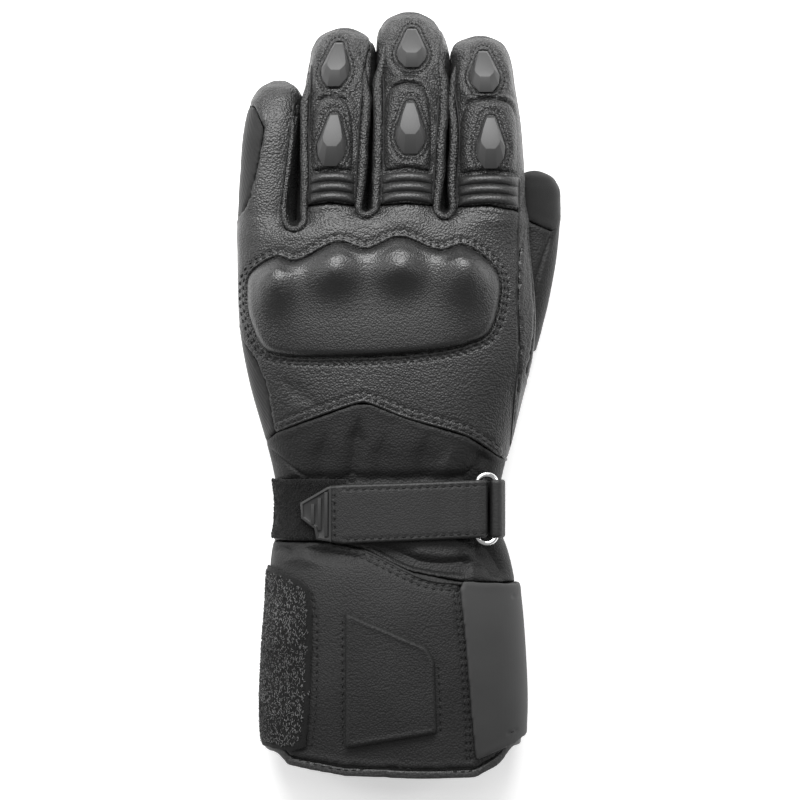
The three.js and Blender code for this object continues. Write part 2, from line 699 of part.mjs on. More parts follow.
// Cuff: flecked loop fabric, raised pad and closing flap
pieces.cuff_loop_patch = layer(
  [[-75, -70], [-54.4, -72], [-41.8, -77.1], [-37.6, -80.8], [-35.9, -90.1], [-37.4, -130], [-38.9, -147.5],
    [-45.1, -149.4], [-56.7, -147.6], [-75, -146]],
  seat,
  patchThickness,
  cuffLowest,
);
pieces.closure_flap = layer(
  [[26.2, -78.1], [49.4, -79.6], [62, -82], [62, -139], [54.3, -141], [46.6, -146.6], [31.7, -152.6],
    [29.6, -130], [27.5, -104.4], [25, -81.3]],
  seat,
  flapThickness,
  cuffLowest,
);
const cuffPad = [[-22.7, -90.5], [-6, -97.6], [11.5, -105.2], [14.7, -111.1], [15.2, -126], [15.6, -141.3],
  [-3.5, -144.5], [-22.7, -147.6], [-22.7, -129], [-22.7, -110]];
pieces.cuff_pad = crowned(cuffPad, [-4, -124], [1, 0.93, 0.5], handHeight, (x, y, share) =>
  seat + (share === 1 ? cuffPadRim : cuffPadHeight),
);

// Finishes
const finishes = {
  leather: { color: 0x4b4b4b, roughness: 0.55, metalness: 0 },
  guardLeather: { color: 0x454545, roughness: 0.42, metalness: 0 },
  sideTextile: { color: 0x2e2e2e, roughness: 0.9, metalness: 0 },
  suede: { color: 0x343434, roughness: 0.95, metalness: 0 },
  loopFabric: { color: 0x2b2b2b, roughness: 1, metalness: 0 },
  flapFabric: { color: 0x4a4a4a, roughness: 0.8, metalness: 0 },
  rubber: { color: 0x6e6e6e, roughness: 0.5, metalness: 0 },
  chrome: { color: 0xe6e6e6, roughness: 0.15, metalness: 1 },
};
const finishOf = {
  knuckle_guard: "guardLeather",
  thumb_tip_patch: "suede",
  wrist_loop_patch: "loopFabric",
  cuff_loop_patch: "loopFabric",
  closure_flap: "flapFabric",
  pull_tab: "rubber",
  strap_ring: "chrome",
  little_side_upper: "sideTextile",
  little_side_lower: "sideTextile",
};

const glove = new THREE.Group();
for (const [name, solid] of Object.entries(pieces)) {
  const mesh = solid.getMesh();
  const geometry = new THREE.BufferGeometry();
  geometry.setAttribute("position", new THREE.BufferAttribute(new Float32Array(mesh.vertProperties), 3));
  geometry.setIndex(new THREE.BufferAttribute(new Uint32Array(mesh.triVerts), 1));
  const finish = finishes[finishOf[name] ?? (name.startsWith("slider") ? "rubber" : "leather")];
  const sewn = new THREE.Mesh(geometry, new THREE.MeshStandardMaterial(finish));
  sewn.name = name;
  glove.add(sewn);
}

export default glove;
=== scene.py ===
import math
import bmesh
import bpy
import numpy as np
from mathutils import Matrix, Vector, noise
from mathutils.bvhtree import BVHTree
from mathutils.kdtree import KDTree


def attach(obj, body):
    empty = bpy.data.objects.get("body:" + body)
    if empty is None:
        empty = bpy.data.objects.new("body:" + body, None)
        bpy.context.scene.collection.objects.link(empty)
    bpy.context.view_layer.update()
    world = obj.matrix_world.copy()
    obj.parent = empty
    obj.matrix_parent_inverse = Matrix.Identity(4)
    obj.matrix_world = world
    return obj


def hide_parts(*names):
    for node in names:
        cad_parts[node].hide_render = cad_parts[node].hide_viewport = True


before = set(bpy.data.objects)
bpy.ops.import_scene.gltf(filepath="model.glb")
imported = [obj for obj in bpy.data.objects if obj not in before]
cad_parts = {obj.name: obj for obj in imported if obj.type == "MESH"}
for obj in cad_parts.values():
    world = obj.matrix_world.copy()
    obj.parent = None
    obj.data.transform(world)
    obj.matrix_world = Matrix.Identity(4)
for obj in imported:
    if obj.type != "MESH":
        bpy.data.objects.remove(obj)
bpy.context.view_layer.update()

mm = 0.001
stitching = {"pitch": 3.2, "length": 2.0, "radius": 0.27, "groove": 0.42, "grooveWidth": 0.65}  # mm
bpy.ops.object.select_all(action="DESELECT")
bpy.context.scene.view_settings.view_transform = "Standard"

# Camera, light and floor
view = {
    "centre": (0.2, -2.7, 25.0),
    "height": 2200.0,
    "framed": 336.0,  # width of the picture at the centre's height, mm
    "sensor": 36.0,
}


def addCamera():
    data = bpy.data.cameras.new("camera")
    data.sensor_width = view["sensor"]
    data.lens = view["sensor"] * view["height"] / view["framed"]
    data.clip_end = 20
    camera = bpy.data.objects.new("camera", data)
    x, y, z = view["centre"]
    camera.location = (x * mm, y * mm, (z + view["height"]) * mm)
    bpy.context.scene.collection.objects.link(camera)
    bpy.context.scene.camera = camera


lamps = {
    # name: (place mm, target mm, width mm, height mm, watts)
    "fingertip_softbox": ((-40, 540, 470), (0, 60, 20), 760, 330, 10.5),
    "overhead_softbox": ((0, 260, 1150), (0, 0, 20), 800, 500, 2.6),
    "left_strip": ((-700, 160, 330), (0, 0, 20), 160, 620, 1.9),
    "right_strip": ((700, 160, 330), (0, 0, 20), 160, 620, 1.3),
}
studio = {"world": 0.36, "paperGlow": 0.4}  # strengths; the paper lies on a light table


def addLamps():
    for name, (place, target, width, height, watts) in lamps.items():
        data = bpy.data.lights.new(name, "AREA")
        data.shape = "RECTANGLE"
        data.size, data.size_y = width * mm, height * mm
        data.energy = watts
        lamp = bpy.data.objects.new(name, data)
        lamp.location = Vector(place) * mm
        lamp.rotation_euler = (Vector(target) - Vector(place)).to_track_quat("-Z", "Y").to_euler()
        bpy.context.scene.collection.objects.link(lamp)
    world = bpy.data.worlds.new("studio")
    bpy.context.scene.world = world
    world.use_nodes = True
    world.node_tree.nodes["Background"].inputs["Color"].default_value = (1, 1, 1, 1)
    world.node_tree.nodes["Background"].inputs["Strength"].default_value = studio["world"]


# Materials
def toLinear(code):
    channels = [int(code[i:i + 2], 16) / 255 for i in (1, 3, 5)]
    return tuple(c / 12.92 if c <= 0.04045 else ((c + 0.055) / 1.055) ** 2.4 for c in channels) + (1.0,)


def addNode(tree, kind, settings=None, **links):
    node = tree.nodes.new(kind)
    for key, value in (settings or {}).items():
        if hasattr(node, key):
            setattr(node, key, value)
        else:
            node.inputs[key].default_value = value
    for key, source in links.items():
        tree.links.new(source, node.inputs[key.replace("_", " ")])
    return node


def newMaterial(name, roughness, sheen=0.0, specular=0.5, metallic=0.0):
    material = bpy.data.materials.new(name)
    material.use_nodes = True
    tree = material.node_tree
    shader = tree.nodes["Principled BSDF"]
    shader.inputs["Roughness"].default_value = roughness
    shader.inputs["Specular IOR Level"].default_value = specular
    shader.inputs["Metallic"].default_value = metallic
    shader.inputs["Sheen Weight"].default_value = sheen
    place = tree.nodes.new("ShaderNodeTexCoord").outputs["Object"]
    return material, tree, shader, place


def colourRamp(tree, pattern, dark, light, stretch):
    ramp = addNode(tree, "ShaderNodeValToRGB", None, Fac=pattern.outputs["Fac"])
    for element, position, colour in zip(ramp.color_ramp.elements, stretch, (dark, light)):
        element.position = position
        element.color = toLinear(colour)
    return ramp


leatherGrain = {
    "warp": 260.0,  # scale of the noise that makes the pebbles uneven, and how far it moves them, mm
    "shift": 0.5,
    "smooth": 0.12,
    "bump": 0.9,
    "wear": 38.0,  # scale of the lighter worn patches, and the stretch of noise where they begin and are full
    "wearStretch": (0.35, 0.68),
    "valleyShade": (0.75, 0.55),  # where the painted shade in a valley is deepest, in shares of a pebble, and the share of the colour left there
    # the stretch, in shares of a pebble, over which painted shade dims the reflections towards the valleys
    "shadedShineStretch": (0.25, 0.62),
}


def pebbledLeather(name, dark, light, roughness, cell=0.85, depth=0.12, specular=0.45, valleyShineShade=0.0):
    # goatskin, drum dyed and finished with a satin coat: rounded pebbles with fine valleys between them.
    # real pebbles are 0.4 to 1 mm, and those of 0.75 to 0.85 mm are the finest that the render shows
    material, tree, shader, place = newMaterial(name, roughness, specular=specular)
    warp = addNode(tree, "ShaderNodeTexNoise", {"Scale": leatherGrain["warp"], "Detail": 2.0}, Vector=place)
    shift = addNode(tree, "ShaderNodeVectorMath", {"operation": "MULTIPLY_ADD"})
    tree.links.new(warp.outputs["Color"], shift.inputs[0])
    shift.inputs[1].default_value = (leatherGrain["shift"] * mm,) * 3
    tree.links.new(place, shift.inputs[2])
    pebbles = addNode(
        tree, "ShaderNodeTexVoronoi",
        {"feature": "SMOOTH_F1", "Scale": 1 / (cell * mm), "Smoothness": leatherGrain["smooth"]},
        Vector=shift.outputs["Vector"],
    )
    bump = addNode(
        tree, "ShaderNodeBump", {"Strength": leatherGrain["bump"], "Distance": depth * mm, "invert": True},
        Height=pebbles.outputs["Distance"],
    )
    tree.links.new(bump.outputs["Normal"], shader.inputs["Normal"])
    worn = addNode(tree, "ShaderNodeTexNoise", {"Scale": leatherGrain["wear"], "Detail": 3.0}, Vector=place)
    colour = colourRamp(tree, worn, dark, light, leatherGrain["wearStretch"])
    # painted shade: the colour is darkened in the valleys between the pebbles
    deepest, share = leatherGrain["valleyShade"]
    valleyShade = addNode(tree, "ShaderNodeMapRange", {"From Max": deepest, "To Min": 1.0, "To Max": share},
                     Value=pebbles.outputs["Distance"])
    mixed = addNode(tree, "ShaderNodeMix", {"data_type": "RGBA", "blend_type": "MULTIPLY"})
    mixed.inputs[0].default_value = 1.0
    tree.links.new(colour.outputs["Color"], mixed.inputs[6])
    tree.links.new(valleyShade.outputs["Result"], mixed.inputs[7])
    tree.links.new(mixed.outputs[2], shader.inputs["Base Color"])
    if valleyShineShade:
        # painted shade on the reflections: the valleys shine less than the pebbles
        start, stop = leatherGrain["shadedShineStretch"]
        shadedShine = addNode(
            tree, "ShaderNodeMapRange",
            {"From Min": start, "From Max": stop, "To Min": specular, "To Max": specular * (1 - valleyShineShade)},
            Value=pebbles.outputs["Distance"],
        )
        tree.links.new(shadedShine.outputs["Result"], shader.inputs["Specular IOR Level"])
    return material


plainSurface = {
    "bump": 0.8,
    "patches": 60.0,  # scale of the faint patches, and the stretch of noise where they begin and are full
    "stretch": (0.3, 0.7),
    "twillLine": 0.16,  # the wave texture's scale for one line in each unit
}


def wovenOrMoulded(
    name, dark, light, roughness, scale, depth,
    twill=False, sheen=0.0, specular=0.3, metallic=0.0,
):
    # a fine grain or a twill line of the given size in mm, over slightly uneven colour
    material, tree, shader, place = newMaterial(name, roughness, sheen, specular, metallic)
    if twill:
        grain = addNode(
            tree, "ShaderNodeTexWave",
            {"bands_direction": "DIAGONAL", "Scale": plainSurface["twillLine"] / (scale * mm),
             "Distortion": 1.5, "Detail": 1.0},
            Vector=place,
        )
    else:
        grain = addNode(tree, "ShaderNodeTexNoise", {"Scale": 1 / (scale * mm), "Detail": 3.0}, Vector=place)
    bump = addNode(tree, "ShaderNodeBump", {"Strength": plainSurface["bump"], "Distance": depth * mm},
                   Height=grain.outputs["Fac"])
    tree.links.new(bump.outputs["Normal"], shader.inputs["Normal"])
    patches = addNode(tree, "ShaderNodeTexNoise", {"Scale": plainSurface["patches"], "Detail": 4.0},
                      Vector=place)
    colour = colourRamp(tree, patches, dark, light, plainSurface["stretch"])
    tree.links.new(colour.outputs["Color"], shader.inputs["Base Color"])
    return material


materials = {
    # drum-dyed goatskin with a satin coat, nearly black: soft light on small round pebbles
    "leather": pebbledLeather("pebbled_goatskin", "#0f0f0f", "#161616", 0.42, depth=0.28, specular=0.5),
    # the same skin, its grain left open and a little lighter, with painted shade that darkens the valleys
    # between the pebbles and dims their reflections: it sparkles on the fingers
    "fingers": pebbledLeather(
        "pebbled_goatskin_fingers", "#1a1a1a", "#242424", 0.4, cell=0.8, depth=0.4, specular=0.62, valleyShineShade=0.5,
    ),
    # the same open grain, drawn over foam
    "pads": pebbledLeather(
        "pebbled_goatskin_pads", "#1a1a1a", "#242424", 0.4, cell=0.8, depth=0.42, specular=0.58, valleyShineShade=0.5,
    ),
    # thin skin folded over cord: nearly smooth, with a line of light on each rib
    "ribs": pebbledLeather("folded_goatskin_ribs", "#202020", "#282828", 0.42, depth=0.14),
    # skin stretched over the hard guard: flatter grain and the clearest highlights
    "guard": pebbledLeather(
        "stretched_goatskin_guard", "#0d0d0d", "#131313", 0.38, cell=0.75, depth=0.18, specular=0.62,
    ),
    # skin gathered by elastic, matt; its colour is painted darker for the shade that falls on the wrist above
    # and below the strap, deep black in the folds
    "shadedWrist": pebbledLeather("gathered_goatskin_wrist_painted_shade", "#0b0b0b", "#111111", 0.58, depth=0.24, specular=0.3),
    # skin bonded to webbing: flat, even and half matt
    "strap": pebbledLeather("goatskin_strap", "#111111", "#171717", 0.55, cell=0.75, depth=0.12),
    # heavier skin with a dry finish: matt dark grey, its grain hardly seen
    "cuff": pebbledLeather(
        "pebbled_goatskin_cuff", "#1a1a1a", "#222222", 0.62, cell=0.8, depth=0.26, specular=0.3,
    ),
    # a folded strip of skin: a little lighter along the turn
    "hem": pebbledLeather("pebbled_goatskin_hem", "#2a2a2a", "#343434", 0.5, cell=0.8, depth=0.2),
    # woven elastane twill: fine slanting lines, no gloss; drawn coarser than real so that they show
    "stretch": wovenOrMoulded("stretch_twill", "#131313", "#1b1b1b", 0.8, 0.7, 0.12, twill=True, sheen=0.1),
    # brushed suede: dull, with light only along its edges
    "suede": wovenOrMoulded("brushed_suede", "#0e0e0e", "#171717", 0.95, 0.5, 0.15, sheen=0.12),
    # the knitted ground under black loops: swallows the light
    "pile": wovenOrMoulded("brushed_loop_pile", "#070707", "#101010", 1.0, 0.45, 0.5, sheen=0.05),
    # the knitted ground under the flecked loops
    "flecks": wovenOrMoulded("flecked_loop_pile", "#0d0d0d", "#151515", 1.0, 0.5, 0.5, sheen=0.05),
    # spun nylon yarn, black
    "darkLoop": wovenOrMoulded("dark_loop_yarn", "#131313", "#1f1f1f", 0.8, 0.3, 0.05),
    # spun nylon yarn, undyed grey: the light flecks
    "lightLoop": wovenOrMoulded("light_loop_yarn", "#535353", "#7c7c7c", 0.7, 0.3, 0.05),
    # close-woven polyester with a coat: even mid grey, its weave too fine to show
    "flap": wovenOrMoulded("coated_polyester", "#2d2d2d", "#313131", 0.62, 0.35, 0.02, specular=0.3),
    # injection-moulded polyurethane with a spark-eroded finish: soft light on flat facets
    "rubber": wovenOrMoulded("moulded_polyurethane", "#282828", "#2d2d2d", 0.48, 0.25, 0.012, specular=0.45),
    # moulded rubber, a little darker and duller
    "tabRubber": wovenOrMoulded("moulded_rubber_tab", "#1e1e1e", "#232323", 0.5, 0.25, 0.02, specular=0.4),
    # bonded polyester thread: black and dry; the same black paints the shadow lines laid in the seams' grooves
    # and round the sliders
    "threadAndShadeLines": wovenOrMoulded("bonded_polyester_thread_and_shade_lines", "#080808", "#0e0e0e", 0.6, 0.3, 0.05),
    # drawn steel wire, nickel plated and polished: bright with sharp reflections
    "chrome": wovenOrMoulded(
        "nickel_plated_wire", "#dcdcdc", "#e6e6e6", 0.18, 0.6, 0.004, specular=0.5, metallic=1.0,
    ),
}

# The glove's outer form, in mm: sections of the hand and cuff, then of each finger and the thumb
handShape = {
    "columns": ("y", "left", "right", "top", "mid"),
    "rows": [
        (-190, -53.0, 47.5, 47, 22), (-163, -54.5, 49.0, 48, 22),
        (-147.6, -56.4, 50.8, 49.5, 22), (-132, -57.3, 51.6, 50.5, 22),
        (-110, -56.5, 51.0, 51, 22), (-87, -55.0, 49.2, 50, 22), (-76, -54.4, 47.8, 48, 22),
        (-66, -53.4, 45.4, 45.2, 22), (-57, -51.6, 42.2, 44, 22), (-41, -51.2, 41.8, 44, 22),
        (-31, -53.0, 43.8, 45, 22), (-21, -55.6, 46.8, 46, 22.5), (-11, -58.6, 49.4, 46, 23),
        (-1, -61.5, 52.0, 46, 24), (14, -64.9, 55.6, 45.5, 26), (26, -66.9, 56.9, 45, 27),
        (40, -67.8, 56.7, 44.5, 27), (53, -68.0, 55.5, 44, 26), (65, -68.0, 54.4, 43, 25),
        (78, -67.8, 53.3, 40.5, 24), (102, -67.4, 52.6, 37.5, 22),
    ],
    "backCorner": 2.5,
    "palmCorner": 4.0,
    "overrun": 2.0,  # how far a section would reach below the palm if it weren't flattened
}
fingerShape = {
    "columns": ("y", "left", "right", "bottom", "top"),
    "corner": 2.4,
    "little": [
        (38, -67.8, -44.4, 1, 36), (58, -67.8, -44.4, 1, 36),
        (78, -67.8, -43.7, 1.5, 34.5), (96, -66.8, -42.4, 2.5, 32),
        (110, -65.7, -41.6, 2.5, 30), (120, -63.6, -41.2, 2, 27), (126, -61.2, -41.6, 1.5, 23.5),
        (130, -57.8, -44.6, 3.5, 18.5), (132.1, -53.6, -48, 7, 13),
    ],
    "ring": [
        (38, -43.4, -14.1, 1, 40), (58, -43.4, -14.1, 1, 40),
        (78, -42.8, -13.9, 2, 38.5), (96, -41.7, -12.9, 3, 36.5),
        (115, -40.4, -11.2, 3, 33.5), (130, -39.3, -10.1, 2.2, 30), (140, -37.6, -10.3, 1, 26),
        (147, -35.9, -11.3, 0.6, 22.5), (151.8, -31.7, -15.3, 3.5, 17), (153.9, -26.6, -19.4, 7, 13),
    ],
    "middle": [
        (38, -13.4, 18.9, 1, 41.5), (58, -13.4, 18.9, 1, 41.5),
        (78, -13.2, 19.1, 2, 40), (96, -12.2, 20.0, 3, 38),
        (117, -10.4, 20.6, 3.2, 35), (131, -9.3, 20.7, 2.5, 32), (145, -9.4, 20.2, 0.8, 27),
        (154.6, -7.6, 16.2, 1, 21), (158.7, -4.0, 12.4, 3.5, 16.5), (160.7, 0.6, 8.2, 7, 13),
    ],
    "index": [
        (38, 19.6, 54.2, 1, 40), (58, 19.6, 54.2, 1, 40),
        (78, 20.0, 53.3, 2, 38.5), (96, 20.6, 52.1, 3, 36.5),
        (115, 21.2, 50.6, 3, 33.5), (130, 21.4, 48.3, 2.2, 30), (139, 21.7, 47.0, 1, 26),
        (144.6, 22.3, 45.2, 0.8, 22.5), (148.5, 25.0, 42.2, 3.5, 17), (150.6, 30.4, 37.8, 7, 13),
    ],
    "thumb": [
        (2, 22, 46, 1.5, 27), (17.8, 33.2, 57.2, 0.6, 27),
        (31, 38.0, 61.1, 0.4, 26), (43, 41.0, 63.8, 0.2, 25),
        (58, 43.1, 66.6, 0, 24), (70, 43.9, 67.7, 0, 23.2), (80, 44.7, 68.0, 0.4, 22.2),
        (88.4, 47.0, 66.8, 2, 19.5), (92.4, 50.6, 63.4, 4.5, 16.5), (93.9, 54, 60, 7.5, 13.5),
    ],
}
shell = {
    "wall": 2.2,
    "thumbClearance": 0.5,
    "sides": 120,  # points round a section
    "step": 1.0,  # between sections
    # where the hand ends between the fingers: x, y
    "web": [(-80, 70.8), (-41, 70.8), (-17, 75.4), (21.5, 75.4), (80, 76)],
    "webRound": 7.0,  # how softly the hand turns down between the fingers
    "rootRound": 5.0,  # how softly a finger grows out of the hand
    "rootStart": 72,  # y below which a finger sinks into the hand
}


def between(rows, ys):
    # smooth curve through the rows, column by column
    rows = np.array(rows, float)
    known = rows[:, 0]
    slopes = np.gradient(rows, known, axis=0)
    i = np.clip(np.searchsorted(known, ys, side="right") - 1, 0, len(known) - 2)
    width = (known[i + 1] - known[i])[:, None]
    t = ((ys - known[i])[:, None]) / width
    start, end = rows[i], rows[i + 1]
    return (
        (2 * t**3 - 3 * t**2 + 1) * start + (t**3 - 2 * t**2 + t) * width * slopes[i]
        + (3 * t**2 - 2 * t**3) * end + (t**3 - t**2) * width * slopes[i + 1]
    )


def power(value, exponent):
    return np.sign(value) * np.abs(value) ** exponent


def handPoints(row, angles):
    y, left, right, top, mid = row
    up = np.sin(angles) >= 0
    corner = np.where(up, handShape["backCorner"], handShape["palmCorner"])
    height = np.where(up, top - mid, mid + handShape["overrun"])
    x = (left + right) / 2 + (right - left) / 2 * power(np.cos(angles), 2 / corner)
    z = mid + height * power(np.sin(angles), 2 / corner)
    return np.stack([x, np.full_like(x, y), np.maximum(z, 0)], 1)


def fingerPoints(row, angles):
    y, left, right, bottom, top = row
    corner = fingerShape["corner"]
    x = (left + right) / 2 + (right - left) / 2 * power(np.cos(angles), 2 / corner)
    z = (top + bottom) / 2 + (top - bottom) / 2 * power(np.sin(angles), 2 / corner)
    return np.stack([x, np.full_like(x, y), np.maximum(z, 0)], 1)


def treeOf(rows, section):
    ys = np.arange(rows[0][0], rows[-1][0], shell["step"])
    ys = np.append(ys, rows[-1][0])
    angles = np.linspace(0, 2 * math.pi, shell["sides"], endpoint=False)
    rings = [section(row, angles) for row in between(rows, ys)]
    points = np.concatenate(rings + [rings[0].mean(0)[None], (rings[-1].mean(0) + [0, 0.6, 0])[None]])
    n = shell["sides"]
    faces = []
    for i in range(len(rings) - 1):
        for j in range(n):
            k = (j + 1) % n
            faces.append((i * n + j, (i + 1) * n + j, (i + 1) * n + k, i * n + k))
    last = (len(rings) - 1) * n
    for j in range(n):
        k = (j + 1) % n
        faces.append((len(points) - 2, j, k))
        faces.append((len(points) - 1, last + k, last + j))
    return BVHTree.FromPolygons([tuple(p) for p in points], faces)


tubes = {"hand": treeOf(handShape["rows"], handPoints)}
for finger in ("little", "ring", "middle", "index", "thumb"):
    tubes[finger] = treeOf(fingerShape[finger], fingerPoints)


def distanceTo(tube, points):
    # signed distance in mm, negative inside, and the direction outwards
    near = [tube.find_nearest(p) for p in points.tolist()]
    hits = np.array([n[0] for n in near])
    outward = np.array([n[1] for n in near])
    return ((points - hits) * outward).sum(1), outward


def roundedJoin(a, b, radius):
    # the outer form of both, with a fillet where they meet
    (da, na), (db, nb) = a, b
    h = np.clip(0.5 + 0.5 * (db - da) / radius, 0, 1)
    away = db + (da - db) * h - radius * h * (1 - h)
    turn = nb + (na - nb) * h[:, None]
    return away, turn / np.maximum(np.linalg.norm(turn, axis=1), 1e-6)[:, None]


def inverse(a):
    return -a[0], -a[1]


def bodyDepth(points):
    # signed distance to the sewn hand with its fingers, without the thumb
    form = distanceTo(tubes["hand"], points)
    web = np.array(shell["web"])
    front = points[:, 1] - np.interp(points[:, 0], web[:, 0], web[:, 1])
    ahead = np.zeros_like(points)
    ahead[:, 1] = 1
    form = inverse(roundedJoin(inverse(form), (-front, -ahead), shell["webRound"]))
    near = points[:, 1] > 50
    if near.any():
        away, turn = form[0][near], form[1][near]
        for finger in ("little", "ring", "middle", "index"):
            other = distanceTo(tubes[finger], points[near])
            join = shell["rootRound"] * np.clip((100 - points[near][:, 1]) / 20, 0.02, 1)
            buried = np.maximum(shell["rootStart"] - points[near][:, 1], 0) * 0.35
            other = (other[0] + buried, other[1])
            away, turn = roundedJoin((away, turn), other, join)
        form[0][near], form[1][near] = away, turn
    beside = (points[:, 0] > 28) & (points[:, 1] > 10) & (points[:, 1] < 100)
    if beside.any():
        away, turn = distanceTo(tubes["thumb"], points[beside])
        room = (shell["thumbClearance"] - away, -turn)
        deeper = room[0] > form[0][beside]
        form[0][beside] = np.where(deeper, room[0], form[0][beside])
        form[1][beside] = np.where(deeper[:, None], room[1], form[1][beside])
    return form


def thumbDepth(points):
    return distanceTo(tubes["thumb"], points)


# Sewn pieces: a fine copy of a CAD piece, laid on the smooth form with a soft edge all round
def fineCopy(node, name, voxel):
    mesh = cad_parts[node].data.copy()
    mesh.name = name
    mesh.materials.clear()
    piece = bpy.data.objects.new(name, mesh)
    bpy.context.scene.collection.objects.link(piece)
    shape = bmesh.new()
    shape.from_mesh(mesh)
    bmesh.ops.remove_doubles(shape, verts=shape.verts, dist=0.002 * mm)
    shape.to_mesh(mesh)
    shape.free()
    remesh = piece.modifiers.new("even", "REMESH")
    remesh.mode = "VOXEL"
    remesh.voxel_size = voxel * mm
    bpy.context.view_layer.objects.active = piece
    bpy.ops.object.modifier_apply(modifier="even")
    return piece


def pointsOf(piece):
    points = np.empty(len(piece.data.vertices) * 3)
    piece.data.vertices.foreach_get("co", points)
    return points.reshape(-1, 3) / mm


def setPoints(piece, points):
    piece.data.vertices.foreach_set("co", (points * mm).ravel())
    piece.data.update()


def normalsOf(piece):
    normals = np.empty(len(piece.data.vertices) * 3)
    piece.data.vertices.foreach_get("normal", normals)
    return normals.reshape(-1, 3)


def relaxed(piece, points, rounds, share=0.5):
    edges = np.empty(len(piece.data.edges) * 2, int)
    piece.data.edges.foreach_get("vertices", edges)
    a, b = edges.reshape(-1, 2).T
    n = len(points)
    count = np.bincount(a, minlength=n) + np.bincount(b, minlength=n)
    for _ in range(rounds):
        total = np.zeros_like(points)
        for axis in range(points.shape[1]):
            total[:, axis] = np.bincount(a, points[b, axis], n) + np.bincount(b, points[a, axis], n)
        points = points + share * (total / count[:, None] - points)
    return points


def layOn(piece, depthAt, outer, thickness, rounds=3):
    # moves each point to the outer or inner face of a wall, and returns how far out it faces, 1 to -1
    points = relaxed(piece, pointsOf(piece), rounds)
    setPoints(piece, points)
    facing = None
    for attempt in range(2):
        away, outward = depthAt(points)
        if facing is None:
            facing = np.clip((normalsOf(piece) * outward).sum(1) / 0.6, -1, 1)
            facing = relaxed(piece, facing[:, None], 2)[:, 0]
            facing = np.clip(facing * 1.3, -1, 1)
        target = outer - thickness * (1 - facing) / 2
        points = points + outward * (target - away)[:, None]
    setPoints(piece, relaxed(piece, points, 1, 0.35))
    return facing, outward


def edgeDistance(points, facing, reach=9.0):
    # how far each outer point lies from the edge of its piece
    edge = np.flatnonzero(np.abs(facing) < 0.35)
    tree = KDTree(len(edge))
    for i in edge:
        tree.insert(points[i], int(i))
    tree.balance()
    distance = np.full(len(points), reach)
    for i in np.flatnonzero(facing > 0.35):
        distance[i] = tree.find(points[i])[2]
    distance[edge] = 0
    return distance


def fromLine(plan, line, reach=None):
    # distance in plan from each point to a line of points, and how far along the line that is
    line = np.array(line, float)
    best = np.full(len(plan), 1e9)
    along = np.zeros(len(plan))
    if reach is not None:
        near = np.all((plan > line.min(0) - reach) & (plan < line.max(0) + reach), axis=1)
        if near.any():
            best[near], along[near] = fromLine(plan[near], line)
        return best, along
    run = 0.0
    for a, b in zip(line[:-1], line[1:]):
        length = max(float(np.hypot(*(b - a))), 1e-6)
        t = np.clip(((plan - a) @ (b - a)) / length**2, 0, 1)
        away = np.hypot(*(plan - a - t[:, None] * (b - a)).T)
        closer = away < best
        best[closer] = away[closer]
        along[closer] = run + t[closer] * length
        run += length
    return best, along


def smoothLine(points, step=1.0, closed=False):
    # a curve through the points, evenly stepped
    knots = np.array(points, float)
    if closed:
        knots = np.vstack([knots[-1:], knots, knots[:2]])
    else:
        knots = np.vstack([2 * knots[0] - knots[1], knots, 2 * knots[-1] - knots[-2]])
    fine = []
    for i in range(1, len(knots) - 2):
        p0, p1, p2, p3 = knots[i - 1:i + 3]
        for t in np.linspace(0, 1, 12, endpoint=False):
            fine.append(0.5 * (2 * p1 + (p2 - p0) * t + (2 * p0 - 5 * p1 + 4 * p2 - p3) * t**2
                               + (3 * p1 - p0 - 3 * p2 + p3) * t**3))
    fine.append(knots[-2])
    fine = np.array(fine)
    run = np.append(0, np.cumsum(np.hypot(*np.diff(fine[:, :2], axis=0).T)))
    at = np.linspace(0, run[-1], max(int(round(run[-1] / step)), 2) + 1)
    return np.stack([np.interp(at, run, fine[:, k]) for k in range(fine.shape[1])], 1)


def offsetLine(line, distance):
    # the same line moved to its left in plan
    tangent = np.gradient(line, axis=0)
    tangent /= np.maximum(np.hypot(*tangent.T), 1e-9)[:, None]
    return line + np.stack([-tangent[:, 1], tangent[:, 0]], 1) * distance


# Lines in plan, mm: seams, rows of stitches and folds, from the fingertips towards the cuff
guardEdge = [
    (-51.7, 56.7), (-42.6, 55), (-26.2, 62.8), (-13.9, 59.8), (0.2, 64.9), (15.8, 59.4), (27.1, 61.5),
    (38.5, 53.5), (42, 43.5), (38, 26.7), (28.3, 20.8), (13.2, 17.6), (-9, 15.8), (-31.7, 15.3),
    (-46, 15.8), (-56.5, 19.1), (-62.4, 31.3), (-63.6, 41.8), (-61.9, 50.2),
]
yokeSeam = [
    (-51.4, -16), (-34, -9.5), (-18.3, -4.2), (-12.4, -4.2), (3.1, -10.3), (28.3, -17.8), (44.7, -28.3),
]
cuffSeam = [(-29.2, -61.9), (-15.3, -64.9), (4, -74.1), (14.1, -77.5), (26.2, -78.6)]
flapSeam = [(25.4, -82), (28, -104.4), (30, -130), (30.9, -153)]
hemSeam = [
    (-46, -151.8), (-23.3, -156.4), (-4, -155.4), (11.1, -156.4), (27.5, -157.3), (33, -155.4), (41.8, -149.3),
]
guardLine = smoothLine(guardEdge, closed=True)
